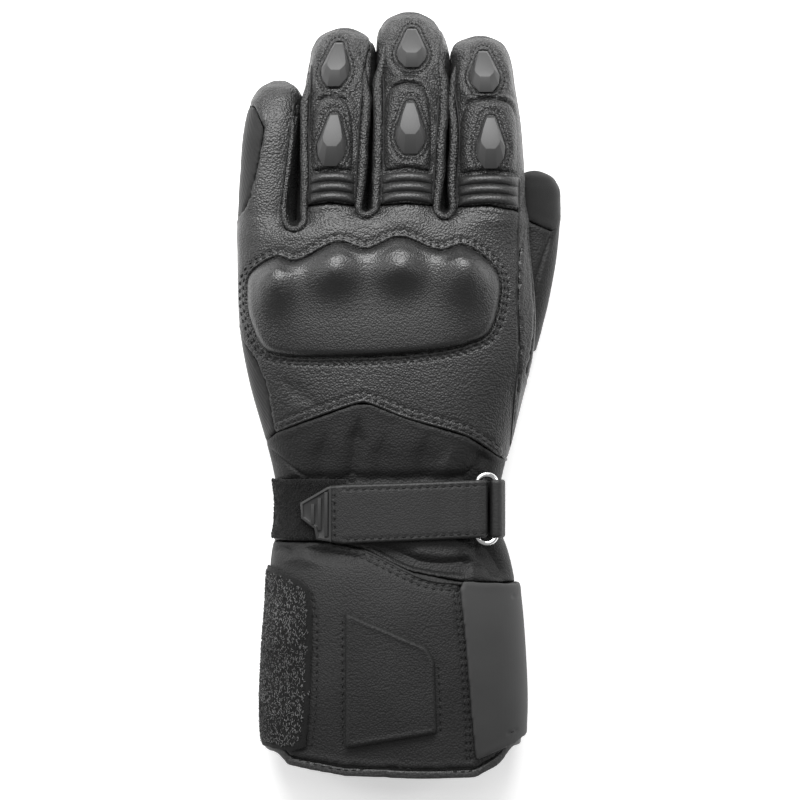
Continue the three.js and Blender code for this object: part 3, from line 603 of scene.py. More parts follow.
stitchRows = {
    "guard_inner": offsetLine(guardLine, 1.9),
    "guard_outer": offsetLine(guardLine, 3.4),
    "yoke_lower": smoothLine([(x, y + 2.1) for x, y in yokeSeam]),
    "yoke_upper": smoothLine([(x, y + 4.2) for x, y in yokeSeam]),
    "cuff_upper": smoothLine([(x, y - 1.6) for x, y in cuffSeam]),
    "cuff_lower": smoothLine([(x - 0.8, y - 3.5) for x, y in cuffSeam]),
    "flap_outer": smoothLine([(x - 1.2, y) for x, y in flapSeam]),
    "flap_inner": smoothLine([(x - 2.9, y) for x, y in flapSeam]),
    "flap_mark_top": smoothLine([(47.6, -84.7), (51.2, -85.1)]),
    "flap_mark_low": smoothLine([(45.4, -141.6), (49, -140.6)]),
    "pad_left": smoothLine([(-23.7, -93), (-23.7, -118), (-23.7, -146.5)]),
    "pad_right": smoothLine([(16.0, -112), (16.7, -126), (17.1, -141)]),
    "patch_border": smoothLine([(-36.8, -84), (-34.5, -95), (-34.7, -129), (-36.6, -147.5)]),
    "hem": smoothLine(hemSeam),
    "strap_top": smoothLine([(-23, -40.0), (0.2, -39.3), (36.4, -38.0)]),
    "strap_bottom": smoothLine([(-23, -60.7), (0.2, -59.7), (36.4, -58.0)]),
    "strap_end": smoothLine([(-26.9, -40.2), (-26.9, -60.2)]),
}
sliderShape = {
    # share of the half width and half length, from the front to the rear, on one side
    "rim": [(0.3, 1), (0.66, 0.45), (1, -0.18), (0.88, -0.62), (0.42, -1)],
    "facet": [(0.25, 0.93), (0.5, 0.5), (0.66, 0.08), (0.6, -0.06), (0.32, -0.26)],
    "foot": -1.6, "edge": 0.9, "front": 2.75, "height": 4.1, "bevel": 0.16,
}
sliders = {
    # name: (finger, x, y, half width, half length, lean, lift over the leather)
    "ring_tip": ("ring", -26.6, 138.1, 6, 9.4, -0.06, 0.3),
    "ring_mid": ("ring", -28.1, 106, 6.2, 11.1, -0.04, 2.0),
    "middle_tip": ("middle", 5.1, 145, 6.4, 8.3, 0, 0.3),
    "middle_mid": ("middle", 4.5, 111, 6.4, 11, 0, 2.0),
    "index_tip": ("index", 35.6, 135, 6.3, 8.8, 0.03, 0.3),
    "index_mid": ("index", 38, 104.9, 6.2, 11, 0, 2.0),
}


def bothSides(points):
    return points + [(-u, v) for u, v in reversed(points)]


def ovalOf(slider, more):
    finger, x, y, halfWidth, halfLength, lean, lift = slider
    oval = [(x + u * (halfWidth + more) - 2 * lean * v * halfLength, y + v * (halfLength + more))
            for u, v in bothSides(sliderShape["rim"])]
    return smoothLine(oval, closed=True)


def archOf(finger):
    # the pad's edge: up one side of the finger, over the arch and down the other
    start, left, right, top = fingerParts[finger]
    low = start + ribShape["pitch"] * ribShape["count"] + 1.5
    middle = (left + right) / 2
    return [
        (left + 1.2, low + 2), (left + 0.9, (low + top) / 2),
        (left + 2.0, top - 6.5), (left + 5.0, top - 1.6), (middle, top), (right - 5.0, top - 1.6),
        (right - 2.0, top - 6.5), (right - 0.9, (low + top) / 2), (right - 1.2, low + 2),
        (right - 3, low + 0.4), (middle, low + 1.4), (left + 3, low + 0.4),
    ]


fingerParts = {
    # finger: (y where the ribs start, left seam x, right seam x, top of the pad's arch)
    "ring": (79.1, -37.9, -18.6, 124.6),
    "middle": (79.1, -7.6, 14.0, 129.8),
    "index": (78.2, 24.4, 50.2, 123.3),
}
ribShape = {"pitch": 4.1, "count": 3, "height": 1.9, "arch": 1.2, "steps": 14, "across": 44}
collars = {name: ovalOf(slider, 0.2) for name, slider in sliders.items()}
arches = {finger: smoothLine(archOf(finger)[2:7], 0.7) for finger in fingerParts}
folds = [
    # points, depth mm (a ridge is negative), half width mm
    ([(-17.0, -12), (-18.5, -24), (-20.5, -40)], 1.7, 3.4),
    ([(-31, -18), (-33, -28), (-34, -40)], 0.9, 3.6),
    ([(-6, -18), (-8, -28), (-9, -40)], 0.7, 4.0),
    ([(12, -18), (10, -28), (9, -40)], 0.9, 4.2),
    ([(37, -20), (33, -30), (28.5, -42)], 1.7, 3.6),
    ([(22, -24), (19, -31), (18, -40)], -0.8, 3.6),
    ([(-48, -36.5), (-20, -36.2), (10, -35.6), (36, -35)], 1.2, 2.8),
    ([(-14, -63), (4, -69.5), (18, -71.5), (34, -70)], 2.4, 4.2),
    ([(4, -66), (16, -68), (28, -67.5)], -1.1, 2.4),
    ([(30, -60), (37, -68), (45, -80)], 2.6, 3.8),
    ([(22, -60), (28, -66), (31, -76)], -0.9, 2.6),
    ([(-40, -64), (-30, -67), (-16, -68)], 1.1, 2.6),
    ([(-54, -66), (-46, -63.5), (-38, -62)], 1.0, 2.2),
    ([(-48, -70), (-41, -69), (-34, -71)], -0.8, 2.4),
    ([(-50, 6), (-42, 0), (-34, -5)], 0.5, 4),
    ([(-55.5, -22.9), (-40.3, -34.2)], 0.9, 0.8),
    ([(-52.5, -61), (-45, -66.4)], 0.9, 0.8),
    ([(65, 69.5), (60.4, 57), (56.8, 45.6), (56.2, 40)], 0.9, 0.9),
]


def heightOf(tube, x, y):
    hit = tube.ray_cast((x, y, 150), (0, 0, -1))[0]
    return hit.z if hit else tube.find_nearest((x, y, 40))[0].z


def heights(tube, points):
    flat = [heightOf(tube, x, y) for x, y in points.reshape(-1, 2).tolist()]
    return np.array(flat).reshape(points.shape[:-1])


def dip(away, width):
    return np.exp(-np.minimum(away / width, 9) ** 2)


reliefs = {
    # rolls and grooves beside a line: height mm, distance from the line mm, half width mm
    "guard": [(0.5, 1.0, 0.5), (-1.0, 0, 0.5)],
    "arch": [(0.75, 1.9, 1.1), (-0.35, 4.2, 0.9), (-0.8, 0, 0.7)],
    "slider": [(0.3, 0.9, 0.55), (-0.34, 2.0, 0.5), (0.4, 4.0, 1.5)],
}


def relief(kind, away):
    return sum(height * dip(away - at, width) for height, at, width in reliefs[kind])


def stitched(plan, piece):
    # how far the leather sinks along the rows of stitches, and swells between them
    sunk = np.zeros(len(plan))
    for name, line in stitchRows.items():
        if name.startswith("strap") != (piece == "wrist_strap"):
            continue
        away, along = fromLine(plan, line, 3)
        pulled = 0.65 + 0.35 * np.cos(2 * math.pi * along / stitching["pitch"])
        sunk -= stitching["groove"] * pulled * dip(away, stitching["grooveWidth"])
    if piece == "hand_back":
        sunk += relief("guard", fromLine(plan, guardLine, 5)[0])
    if piece.startswith("finger_back"):
        for name, line in collars.items():
            sunk += collar(plan, line)
        for name, line in arches.items():
            away, along = fromLine(plan, line, 6)
            fade = np.clip(np.minimum(along, len(line) * 0.7 - along) / 7, 0, 1)
            sunk += fade * relief("arch", away)
    return sunk


def collar(plan, line):
    # the ring of leather gathered round a slider: a small roll, a row of stitches, a swell
    return relief("slider", fromLine(plan, line, 7)[0])


def folded(plan):
    sunk = np.zeros(len(plan))
    for points, depth, width in folds:
        line = smoothLine(points)
        away, along = fromLine(plan, line, 3 * width)
        away = away + np.maximum(2 * width - np.minimum(along, len(line) - along), 0) * 0.5
        sunk -= 1.25 * depth * dip(away, width)
    return sunk


def finish(piece, material, slot, *nodes):
    piece.data.materials.clear()
    piece.data.materials.append(materials[material])
    piece.data.polygons.foreach_set("use_smooth", [True] * len(piece.data.polygons))
    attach(piece, "root")
    if nodes:
        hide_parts(*nodes)
    topPieces.append(piece)
    return piece


topPieces = []
faces = {}
panels = {
    # node: (voxel mm, material, record slot, how deep its edge sinks into the seam mm, roll at the edge mm)
    "hand_back": (0.62, "leather", "leather", 1.1, 0),
    "palm_panel": (1.25, "leather", "leather", 0.7, 0),
    "finger_back_ring": (0.5, "fingers", "leather", 1.3, 0.15),
    "finger_back_middle": (0.5, "fingers", "leather", 1.3, 0.15),
    "finger_back_index": (0.5, "fingers", "leather", 1.3, 0.15),
    "fourchette_little_ring": (0.55, "fingers", "leather", 0.8, 0.3),
    "fourchette_ring_middle": (0.55, "fingers", "leather", 0.8, 0.3),
    "fourchette_middle_index": (0.55, "fingers", "leather", 0.8, 0.3),
    "index_side_wall": (0.62, "leather", "leather", 1.1, 0),
    "little_side_upper": (0.8, "stretch", "side_textile", 0.6, 0),
    "little_side_lower": (0.8, "stretch", "side_textile", 0.6, 0),
    "wrist_panel": (0.72, "shadedWrist", "leather", 0.7, 0),
    "cuff_back": (0.75, "cuff", "leather", 0.8, 0.15),
    "cuff_palm": (1.4, "cuff", "leather", 0.5, 0),
    "hem_binding": (0.8, "hem", "leather", 0.4, 0),
}
layers = {
    # node: (voxel mm, material, record slot, edge mm, outer face over the hand mm, thickness mm)
    "wrist_loop_patch": (0.6, "pile", "loop_fabric", 0.3, 1.5, 1.2),
    "cuff_loop_patch": (0.6, "flecks", "flecked_loop", 0.3, 1.5, 1.2),
    "closure_flap": (0.7, "flap", "flap_textile", 0.4, 2.3, 2.0),
}


sewing = {
    "sunkWidth": 1.0,  # how far in from its edge a panel sinks, mm
    "roll": (2.0, 1.2),  # where the roll beside it lies, and its half width
    "rollShare": 0.25,  # height of that roll for each mm that the edge sinks
    "sway": (21, 26, 17),  # length of the slow waves along x, y and z
    "swayFrom": 4, "foldFrom": 3.5,  # how far in from the edge waves and folds are full
}


def handDepth(points):
    return distanceTo(tubes["hand"], points)


def sewPanel(
    node, voxel, material, slot, sink, roll=0.0,
    depthAt=bodyDepth, outer=0.0, thickness=None, sway=0.45, rounds=3,
):
    piece = fineCopy(node, "sewn_" + node, voxel)
    facing, outward = layOn(piece, depthAt, outer, thickness or shell["wall"], rounds)
    points = pointsOf(piece)
    edge = relaxed(piece, edgeDistance(points, facing)[:, None], 1)[:, 0]
    out = np.clip(facing, 0, 1)
    at, width = sewing["roll"]
    lift = -sink * np.exp(-(edge / sewing["sunkWidth"]) ** 2)
    lift = lift + (sewing["rollShare"] * sink + roll) * np.exp(-((edge - at) / width) ** 2)
    lengths = np.array(sewing["sway"])
    waves = np.array([noise.noise(Vector(p)) for p in (points / lengths).tolist()])
    lift = lift + sway * waves * np.clip(edge / sewing["swayFrom"], 0, 1)
    above = np.clip(outward[:, 2] * 2.5, 0, 1)
    gathers = folded(points[:, :2]) * np.clip(edge / sewing["foldFrom"], 0, 1) if outer == 0 else 0
    if above.any() and not node.startswith(("palm", "cuff_palm", "fourchette")):
        lift = lift + above * (stitched(points[:, :2], node) + gathers)
    points = relaxed(piece, points + outward * (lift * out)[:, None], 1, 0.3)
    setPoints(piece, points)
    faces[node] = (points, outward, facing, edge)
    return finish(piece, material, slot, node)


print("sewing the shell")
for node, (voxel, material, slot, sink, roll) in panels.items():
    hem = node == "hem_binding"
    sewPanel(node, voxel, material, slot, sink, roll, thickness=shell["wall"] + hem, rounds=14 if hem else 3)
sewPanel("thumb_shell", 0.8, "shadedWrist", "leather", 0.7, depthAt=thumbDepth)
sewPanel("thumb_tip_patch", 0.8, "suede", "suede", 0.7, depthAt=thumbDepth)
print("laying the patches and the flap")
for node, (voxel, material, slot, sink, outer, thickness) in layers.items():
    sewPanel(node, voxel, material, slot, sink, 0, handDepth, outer, thickness, sway=0.15)


# Closed forms made of two grids, one over the other
def meshOf(name, points, faces):
    mesh = bpy.data.meshes.new(name)
    mesh.from_pydata([tuple(p) for p in (points * mm).tolist()], [], faces)
    mesh.update()
    piece = bpy.data.objects.new(name, mesh)
    bpy.context.scene.collection.objects.link(piece)
    shape = bmesh.new()
    shape.from_mesh(mesh)
    bmesh.ops.remove_doubles(shape, verts=shape.verts, dist=0.001 * mm)
    bmesh.ops.recalc_face_normals(shape, faces=shape.faces)
    shape.to_mesh(mesh)
    shape.free()
    return piece


def closedGrid(name, top, under):
    n, m = top.shape[:2]
    points = np.concatenate([top.reshape(-1, 3), under.reshape(-1, 3)])
    low = n * m
    faces = []
    for i in range(n - 1):
        for j in range(m - 1):
            a, b, c, d = i * m + j, i * m + j + 1, (i + 1) * m + j + 1, (i + 1) * m + j
            faces += [(a, b, c, d), (low + d, low + c, low + b, low + a)]
    border = [(0, j) for j in range(m)] + [(i, m - 1) for i in range(1, n)]
    border += [(n - 1, j) for j in range(m - 2, -1, -1)] + [(i, 0) for i in range(n - 2, 0, -1)]
    for (i, j), (k, q) in zip(border, border[1:] + border[:1]):
        a, b = i * m + j, k * m + q
        faces.append((b, a, low + a, low + b))
    return meshOf(name, points, faces)


def crowned(name, outline, centre, tube, rise, rim, rings, sunk=0.5):
    # a padded form inside an outline: rings run in from the rim, and rise gives the height over the leather
    outline = np.array(outline)
    inward = np.array(centre) - outline
    reach = np.hypot(*inward.T)[:, None]
    steps = [np.minimum(d / reach, 0.9) for d in rim]
    steps += [steps[-1] + (1 - steps[-1]) * k / rings for k in range(1, rings)]
    plan = np.stack([outline + inward * t for t in steps])
    ground = heights(tube, plan)
    edge = fromLine(plan.reshape(-1, 2), np.vstack([outline, outline[:1]]))[0].reshape(ground.shape)
    top = np.dstack([plan, ground + rise(plan[..., 0], plan[..., 1], edge)])
    rows, n = ground.shape
    floorRings = [0, rows // 2, rows - 1]
    under = np.dstack([plan[floorRings], ground[floorRings] - sunk])
    middle = heightOf(tube, *centre)
    peak = middle + float(rise(np.array(centre[0]), np.array(centre[1]), np.array(edge.max())))
    poles = [[*centre, peak], [*centre, middle - sunk]]
    points = np.concatenate([top.reshape(-1, 3), under.reshape(-1, 3), poles])
    faces = []
    for i in range(rows - 1):
        for j in range(n):
            k = (j + 1) % n
            faces.append((i * n + j, i * n + k, (i + 1) * n + k, (i + 1) * n + j))
    low = rows * n
    for i in range(2):
        for j in range(n):
            k = (j + 1) % n
            faces.append((low + (i + 1) * n + j, low + (i + 1) * n + k, low + i * n + k, low + i * n + j))
    last = len(points)
    for j in range(n):
        k = (j + 1) % n
        faces.append((j, low + j, low + k, k))
        faces.append(((rows - 1) * n + j, (rows - 1) * n + k, last - 2))
        faces.append((low + 2 * n + k, low + 2 * n + j, last - 1))
    return meshOf(name, points, faces)


def shoulder(edge, width, sharp=2.0):
    return (1 - (1 - np.clip(edge / width, 0, 1)) ** sharp) ** (1 / sharp)


def surfaceOf(pieces):
    points, faces = [], []
    for piece in pieces:
        start = len(points)
        points += [tuple(v.co) for v in piece.data.vertices]
        faces += [tuple(start + i for i in p.vertices) for p in piece.data.polygons]
    return BVHTree.FromPolygons(points, faces)


# The rolled edges of the strips between the fingers, one roll down and up each gap
seamLines = {
    "littleRight": [(-42.2, 132.5), (-43.3, 127.9), (-46, 110.7), (-48.5, 90.1), (-49.8, 79.2)],
    "ringLeft": [(-35.1, 150.2), (-37, 138), (-38, 110.7), (-37.6, 90.1), (-38.2, 78.3)],
    "ringRight": [(-13.7, 150.2), (-15.3, 132.9), (-17, 111.5), (-18.1, 90.1), (-18.9, 78.3)],
    "middleLeft": [(-6.1, 156.9), (-6.9, 134.2), (-6.5, 115), (-6.9, 95.5), (-8.2, 78.3)],
    "middleRight": [(15.3, 156.9), (16.5, 124), (15.3, 106.5), (14.5, 90.1), (13.7, 78.3)],
    "indexLeft": [(24.1, 147.6), (22.7, 131), (25.2, 109.4), (24.1, 90.1), (24.1, 77.5)],
}
webs = {
    # gap: (left seam, right seam, the web's line between them,
    #       top y on the left and on the right, radius on the left, at the web and on the right)
    "little_ring": (
        "littleRight", "ringLeft", [(-49.4, 72), (-46.8, 68), (-43.9, 67), (-41, 68), (-38.4, 72)],
        (124, 138), (1.3, 1.4, 1.9),
    ),
    "ring_middle": (
        "ringRight", "middleLeft", [(-17.9, 74.8), (-14.5, 72.7), (-10.7, 74.3)],
        (140, 147), (2.3, 1.5, 2.3),
    ),
    "middle_index": (
        "middleRight", "indexLeft", [(14.9, 74.3), (18.9, 72), (22.5, 74.1)],
        (147, 138), (2.2, 1.5, 2.2),
    ),
}
rollShape = {"step": 0.6, "outside": 1.5, "sunk": 0.35, "sides": 16, "fade": 16, "widen": 16}


def tubeAlong(name, centres, radii, sides):
    tangent = np.gradient(centres, axis=0)
    tangent /= np.linalg.norm(tangent, axis=1)[:, None]
    level = np.cross(tangent, [0, 0, 1.0])
    level /= np.linalg.norm(level, axis=1)[:, None]
    up = np.cross(level, tangent)
    angles = np.linspace(0, 2 * math.pi, sides, endpoint=False)
    rings = centres[:, None] + radii[:, None, None] * (
        level[:, None] * np.cos(angles)[None, :, None] + up[:, None] * np.sin(angles)[None, :, None])
    quads = []
    for i in range(len(centres) - 1):
        for j in range(sides):
            q = (j + 1) % sides
            quads.append((i * sides + j, i * sides + q, (i + 1) * sides + q, (i + 1) * sides + j))
    last = (len(centres) - 1) * sides
    caps = [tuple(range(sides))[::-1], tuple(last + j for j in range(sides))]
    return meshOf(name, rings.reshape(-1, 3), quads + caps)


def smoothed(values, rounds):
    for _ in range(rounds):
        values[1:-1] = (values[:-2] + 2 * values[1:-1] + values[2:]) / 4
    return values


print("rolled edges")
backs = surfaceOf([
    bpy.data.objects["sewn_" + node] for node in panels if node.startswith(("hand_back", "finger_back"))
])
for gap, (left, right, web, tops, sizes) in webs.items():
    line = smoothLine(seamLines[left] + web + seamLines[right][::-1], rollShape["step"])
    bottom = int(np.argmin(line[:, 1]))
    keep = [i for i in range(len(line)) if line[i, 1] < tops[0 if i < bottom else 1]]
    line, bottom = line[keep], bottom - keep[0]
    fromBottom = (np.arange(len(line)) - bottom) * rollShape["step"]
    wide = np.clip((np.abs(fromBottom) - 4) / rollShape["widen"], 0, 1)
    size = np.where(fromBottom < 0, sizes[0], sizes[2]) * wide + sizes[1] * (1 - wide)
    fromEnd = np.minimum(np.arange(len(line)), len(line) - 1 - np.arange(len(line))) * rollShape["step"]
    ends = np.clip(fromEnd / rollShape["fade"], 0, 1) ** 0.7
    waves = np.array([noise.noise(Vector((x / 7, y / 7, 3))) for x, y in line.tolist()])
    size = smoothed(size * (0.4 + 0.6 * ends) * (1 + 0.1 * waves), 8)
    level = []
    for x, y in offsetLine(line, -rollShape["outside"]).tolist():
        hit = backs.ray_cast(Vector((x, y, 150)) * mm, Vector((0, 0, -1)))[0]
        level.append(hit.z / mm if hit else (level[-1] if level else 20.0))
    height = smoothed(np.array(level), 30) - size - rollShape["sunk"] - (1 - ends) * 1.2
    tangent = np.gradient(line, axis=0)
    tangent /= np.hypot(*tangent.T)[:, None]
    inward = np.stack([-tangent[:, 1], tangent[:, 0]], 1) * (size * (1.9 * ends - 0.9))[:, None]
    centres = smoothed(np.column_stack([line + inward, height]), 6)
    finish(tubeAlong("rolled_edge_" + gap, centres, size, rollShape["sides"]), "fingers", "leather")

print("knuckle guard")
guard = {
    "height": 3.4,
    "shoulder": 2.8,
    "crown": (1.6, 15),  # height, and how far in from the edge it is reached
    "centre": (-10.5, 38),
    # dome: x, y, half width, reach towards the fingers, reach towards the wrist, height
    "domes": [
        (-51.8, 47, 8.8, 9, 12, 5.4), (-27, 51.8, 9.2, 9.5, 9.5, 5.6), (0.6, 52.8, 8.8, 9.5, 9, 5.8),
        (28, 52.4, 9.8, 9.2, 15, 7.0),
    ],
}


def guardRise(x, y, edge):
    crown, reach = guard["crown"]
    rise = 0.3 + guard["height"] * shoulder(edge, guard["shoulder"]) + crown * shoulder(edge, reach)
    for cx, cy, half, ahead, behind, height in guard["domes"]:
        along = np.where(y > cy, (y - cy) / ahead, (y - cy) / behind)
        rise = rise + height * dip(np.hypot((x - cx) / half, along), 1) * np.clip(edge / 5, 0, 1)
    return rise


piece = crowned(
    "knuckle_guard_cover", smoothLine(guardEdge, 0.7, closed=True)[:-1], guard["centre"],
    tubes["hand"], guardRise, rim=(0, 0.15, 0.4, 0.7, 1.1, 1.6, 2.2, 2.9, 3.7, 4.6, 5.6), rings=48,
)
finish(piece, "guard", "guard_leather", "knuckle_guard")

print("finger pads and ribs")
padShape = {"height": 2.0, "shoulder": 2.6}
for finger, (start, left, right, top) in fingerParts.items():
    across = np.linspace(-1, 1, ribShape["across"])
    n = ribShape["steps"] * ribShape["count"]
    x = (left + right) / 2 + across * (right - left - 0.4) / 2
    grid = np.array([[(xx, start + ribShape["pitch"] * i / ribShape["steps"] + ribShape["arch"] * (1 - t * t))
                      for xx, t in zip(x, across)] for i in range(n + 1)])
    ground = heights(tubes[finger], grid)
    roll = np.abs(np.sin(math.pi * np.arange(n + 1) / ribShape["steps"])) ** 0.55
    tuck = (1 - np.abs(across) ** 8) ** 0.5
    topGrid = np.dstack([grid, ground + 0.25 + ribShape["height"] * roll[:, None] * tuck[None]])
    ribsPiece = closedGrid("ribs_" + finger, topGrid, np.dstack([grid, ground - 0.6]))
    finish(ribsPiece, "ribs", "leather", "flex_ribs_" + finger)

    low = start + ribShape["pitch"] * ribShape["count"] + 1.5
    insert = collars[finger + "_mid"]

    def padRise(x, y, edge):
        around = collar(np.stack([np.ravel(x), np.ravel(y)], 1), insert).reshape(np.shape(x))
        around = around * np.clip(edge / 2, 0, 1)
        return 0.1 + padShape["height"] * shoulder(edge, padShape["shoulder"]) + around

    pad = crowned(
        "pad_" + finger, smoothLine(archOf(finger), 0.5, closed=True)[:-1],
        ((left + right) / 2, (low + top) / 2), tubes[finger], padRise,
        rim=(0, 0.2, 0.5, 0.9, 1.4, 2.0, 2.6), rings=26,
    )
    finish(pad, "pads", "leather", "finger_pad_" + finger)

print("sliders")


def placeRing(vertices, outline, slider, base, slope, height):
    finger, x, y, halfWidth, halfLength, lean, lift = slider
    for vertex, (u, v) in zip(vertices, outline):
        along = v * halfLength
        level = base + slope * along + height(v)
        vertex.co = Vector((x + u * halfWidth - 2 * lean * along, y + along, level)) * mm


def addSlider(name, slider):
    finger, x, y, halfWidth, halfLength, lean, lift = slider
    tube = tubes[finger]
    base = heightOf(tube, x, y) + lift
    slope = (heightOf(tube, x, y + 5) - heightOf(tube, x, y - 5)) / 10
    rim, facet = bothSides(sliderShape["rim"]), bothSides(sliderShape["facet"])
    bpy.ops.object.select_all(action="DESELECT")
    bpy.ops.mesh.primitive_circle_add(vertices=len(rim), radius=halfWidth * mm, fill_type="NGON")
    piece = bpy.context.active_object
    piece.name = "slider_" + name + "_insert"
    bpy.ops.object.mode_set(mode="EDIT")
    shape = bmesh.from_edit_mesh(piece.data)
    ring = list(shape.verts)
    order = sorted(ring, key=lambda v: math.atan2(-v.co.x, v.co.y) % (2 * math.pi))
    placeRing(order[::-1], rim, slider, base, slope, lambda v: sliderShape["foot"])
    for level in ("edge", "facet"):
        bpy.ops.mesh.extrude_region_move()
        raised = [v for v in shape.verts if v.select]
        raised.sort(key=lambda v: v.co.y)
        matched = []
        for source in order[::-1]:
            nearest = min((v for v in raised if v not in matched), key=lambda v: (v.co - source.co).length)
            matched.append(nearest)
        if level == "edge":
            placeRing(matched, rim, slider, base, slope, lambda v: sliderShape["edge"])
        else:
            front = sliderShape["front"]
            rise = sliderShape["height"] - front
            placeRing(matched, facet, slider, base, slope, lambda v: front + (0.9 - v) / 1.2 * rise)
        order = matched[::-1]
        bmesh.update_edit_mesh(piece.data)
    bpy.ops.mesh.select_all(action="SELECT")
    bpy.ops.mesh.normals_make_consistent(inside=False)
    bpy.ops.object.mode_set(mode="OBJECT")
    bevel = piece.modifiers.new("soft edges", "BEVEL")
    bevel.width = sliderShape["bevel"] * mm
    bevel.segments = 2
    bevel.limit_method = "ANGLE"
    bevel.angle_limit = math.radians(12)
    bpy.ops.object.modifier_apply(modifier="soft edges")
    finish(piece, "rubber", "rubber", "slider_" + name)
    bpy.ops.object.shade_smooth_by_angle(angle=math.radians(25))
    return piece


for name, slider in sliders.items():
    addSlider(name, slider)

print("strap, ring and tab")
strapShape = {
    # x, upper edge y, lower edge y
    "edges": [
        (-28.9, -38.4, -62.0), (-23.3, -37.8, -62.8), (0.2, -37.2, -61.7),
        (35, -35.9, -60.1), (60, -35.9, -60.1),
    ],
    "lift": 2.1, "thickness": 1.9, "anchor": 1.4, "ringX": (32.2, 40.4), "ringLift": 3.9, "steps": 44,
    "climb": (16, 31),  # x where the strap starts to rise to the ring, and where it is up
    "turn": (2.7, 1.6),  # how wide and how high it turns round the ring's left bar
    "anchorTurn": 1.35,
}
ringMiddle = -48.1


def barAt(x):
    # where a long bar of the ring lies over the wrist: x, z
    step = 0.3
    before, here, after = (heightOf(tubes["hand"], x + move, ringMiddle) for move in (-step, 0, step))
    return x, here + strapShape["ringLift"] * math.hypot(1, (after - before) / (2 * step))


leftBar, rightBar = (barAt(x) for x in strapShape["ringX"])


def wrapped(bar, wide, high, angles):
    return [(bar[0] + wide * math.cos(a), bar[1] + high * math.sin(a)) for a in np.radians(angles)]


def strapPath():
    # the strap's underside in the (x, z) plane: over the wrist, round the left bar and back under itself
    start, stop = strapShape["climb"]
    climb = strapShape["ringLift"] - 0.5 - strapShape["lift"] + 1.5
    path = []
    for x in np.arange(-28.9, 29, 1.2):
        t = min(max((x - start) / (stop - start), 0), 1)
        up = strapShape["lift"] + climb * t * t * (3 - 2 * t)
        path.append((x, heightOf(tubes["hand"], x, ringMiddle) + up))
    path += wrapped(leftBar, *strapShape["turn"], range(86, -100, -14))
    return path + [(x, heightOf(tubes["hand"], x, ringMiddle) + 2.0) for x in (31, 29, 27, 25)]


def anchorPath():
    # the anchor's underside: from below the right bar, round it and down the glove's side
    row = between(handShape["rows"], np.array([ringMiddle]))[0]
    side = handPoints(row, np.radians([9, 5, 1, -4, -10]))[:, [0, 2]]
    x, z = rightBar
    turn = strapShape["anchorTurn"]
    path = [(x + 2.4, z - 3.2)] + wrapped(rightBar, turn, turn, range(-75, -316, -15))
    return path + [(x + 1.9, z - 0.9), (x + 2.3, z - 3.0)] + [(u + 0.5, v) for u, v in side]


def addBand(name, path, thickness, row=None):
    # a flat band along a path, its thin edges rounded; row names the rows of stitches that sink into it
    path = smoothLine(path, 0.5)
    tangent = np.gradient(path, axis=0)
    tangent /= np.hypot(*tangent.T)[:, None]
    upward = np.stack([-tangent[:, 1], tangent[:, 0]], 1)
    edges = np.array(strapShape["edges"])
    across = np.linspace(0, 1, strapShape["steps"])
    upper = np.interp(path[:, 0], edges[:, 0], edges[:, 1])
    lower = np.interp(path[:, 0], edges[:, 0], edges[:, 2])
    y = upper[:, None] + (lower - upper)[:, None] * across[None]
    x = np.repeat(path[:, :1], len(across), 1)
    fromEdge = np.minimum(across, 1 - across) * np.abs(lower - upper).mean()
    thick = thickness * (0.45 + 0.55 * shoulder(fromEdge, 1.3))[None] * np.ones(len(path))[:, None]
    if row:
        onTop = np.arange(len(path)) < np.argmax(path[:, 0])
        sunk = stitched(np.stack([x[onTop].ravel(), y[onTop].ravel()], 1), row)
        thick[onTop] += 0.7 * sunk.reshape(-1, len(across))
    under = np.dstack([x, y, np.repeat(path[:, 1:], len(across), 1)])
    top = under + np.dstack([upward[:, :1] * thick, np.zeros_like(thick), upward[:, 1:] * thick])
    return closedGrid(name, top, under)


strapBand = addBand("strap_band", strapPath(), strapShape["thickness"], "wrist_strap")
finish(strapBand, "strap", "leather", "wrist_strap")
anchorBand = addBand("anchor_band", anchorPath(), strapShape["anchor"])
finish(anchorBand, "strap", "leather", "strap_anchor")

ringShape = {"length": 31, "wire": 1.15}
tilt = math.atan2(rightBar[1] - leftBar[1], rightBar[0] - leftBar[0])
half = math.hypot(rightBar[0] - leftBar[0], rightBar[1] - leftBar[1]) / 2
bpy.ops.object.select_all(action="DESELECT")
bpy.ops.mesh.primitive_torus_add(
    major_segments=64, minor_segments=20, major_radius=half * mm, minor_radius=ringShape["wire"] * mm,
)
ring = bpy.context.active_object
ring.name = "strap_ring_wire"
bpy.ops.object.mode_set(mode="EDIT")
shape = bmesh.from_edit_mesh(ring.data)
for end in (1, -1):
    for vertex in shape.verts:
        vertex.select = vertex.co.y * end > 0.01 * mm
    shape.select_flush_mode()
    bmesh.update_edit_mesh(ring.data)
    stretch = ringShape["length"] / 2 - ringShape["wire"] - half
    bpy.ops.transform.translate(value=(0, end * stretch * mm, 0))
bpy.ops.object.mode_set(mode="OBJECT")
ring.rotation_euler = (0, -tilt, 0)
ring.location = Vector(((leftBar[0] + rightBar[0]) / 2, ringMiddle, (leftBar[1] + rightBar[1]) / 2)) * mm
bpy.ops.object.transform_apply(location=True, rotation=True, scale=True)
finish(ring, "chrome", "chrome", "strap_ring")

tabShape = {
    "outline": [
        (-41.4, -45.6), (-30, -38.9), (-28.4, -38.7), (-28.4, -61.7),
        (-34.6, -60.7), (-35.5, -56.1), (-40.9, -52.1),
    ],
    "thickness": 2.6, "lift": 1.9,
    "middle": -50.2,
    "ridges": [(-30.6, 18.5), (-33.4, 13.5), (-36.2, 8.5)],  # x, length
    "ridgeWidth": 1.3, "ridgeHeight": 1.6,
    "rim": 0.9, "rimRise": 0.35, "lip": 0.5, "sunk": 0.7,  # a raised rim, a lip inside it, a sunk face
    "bevel": 0.3,
}


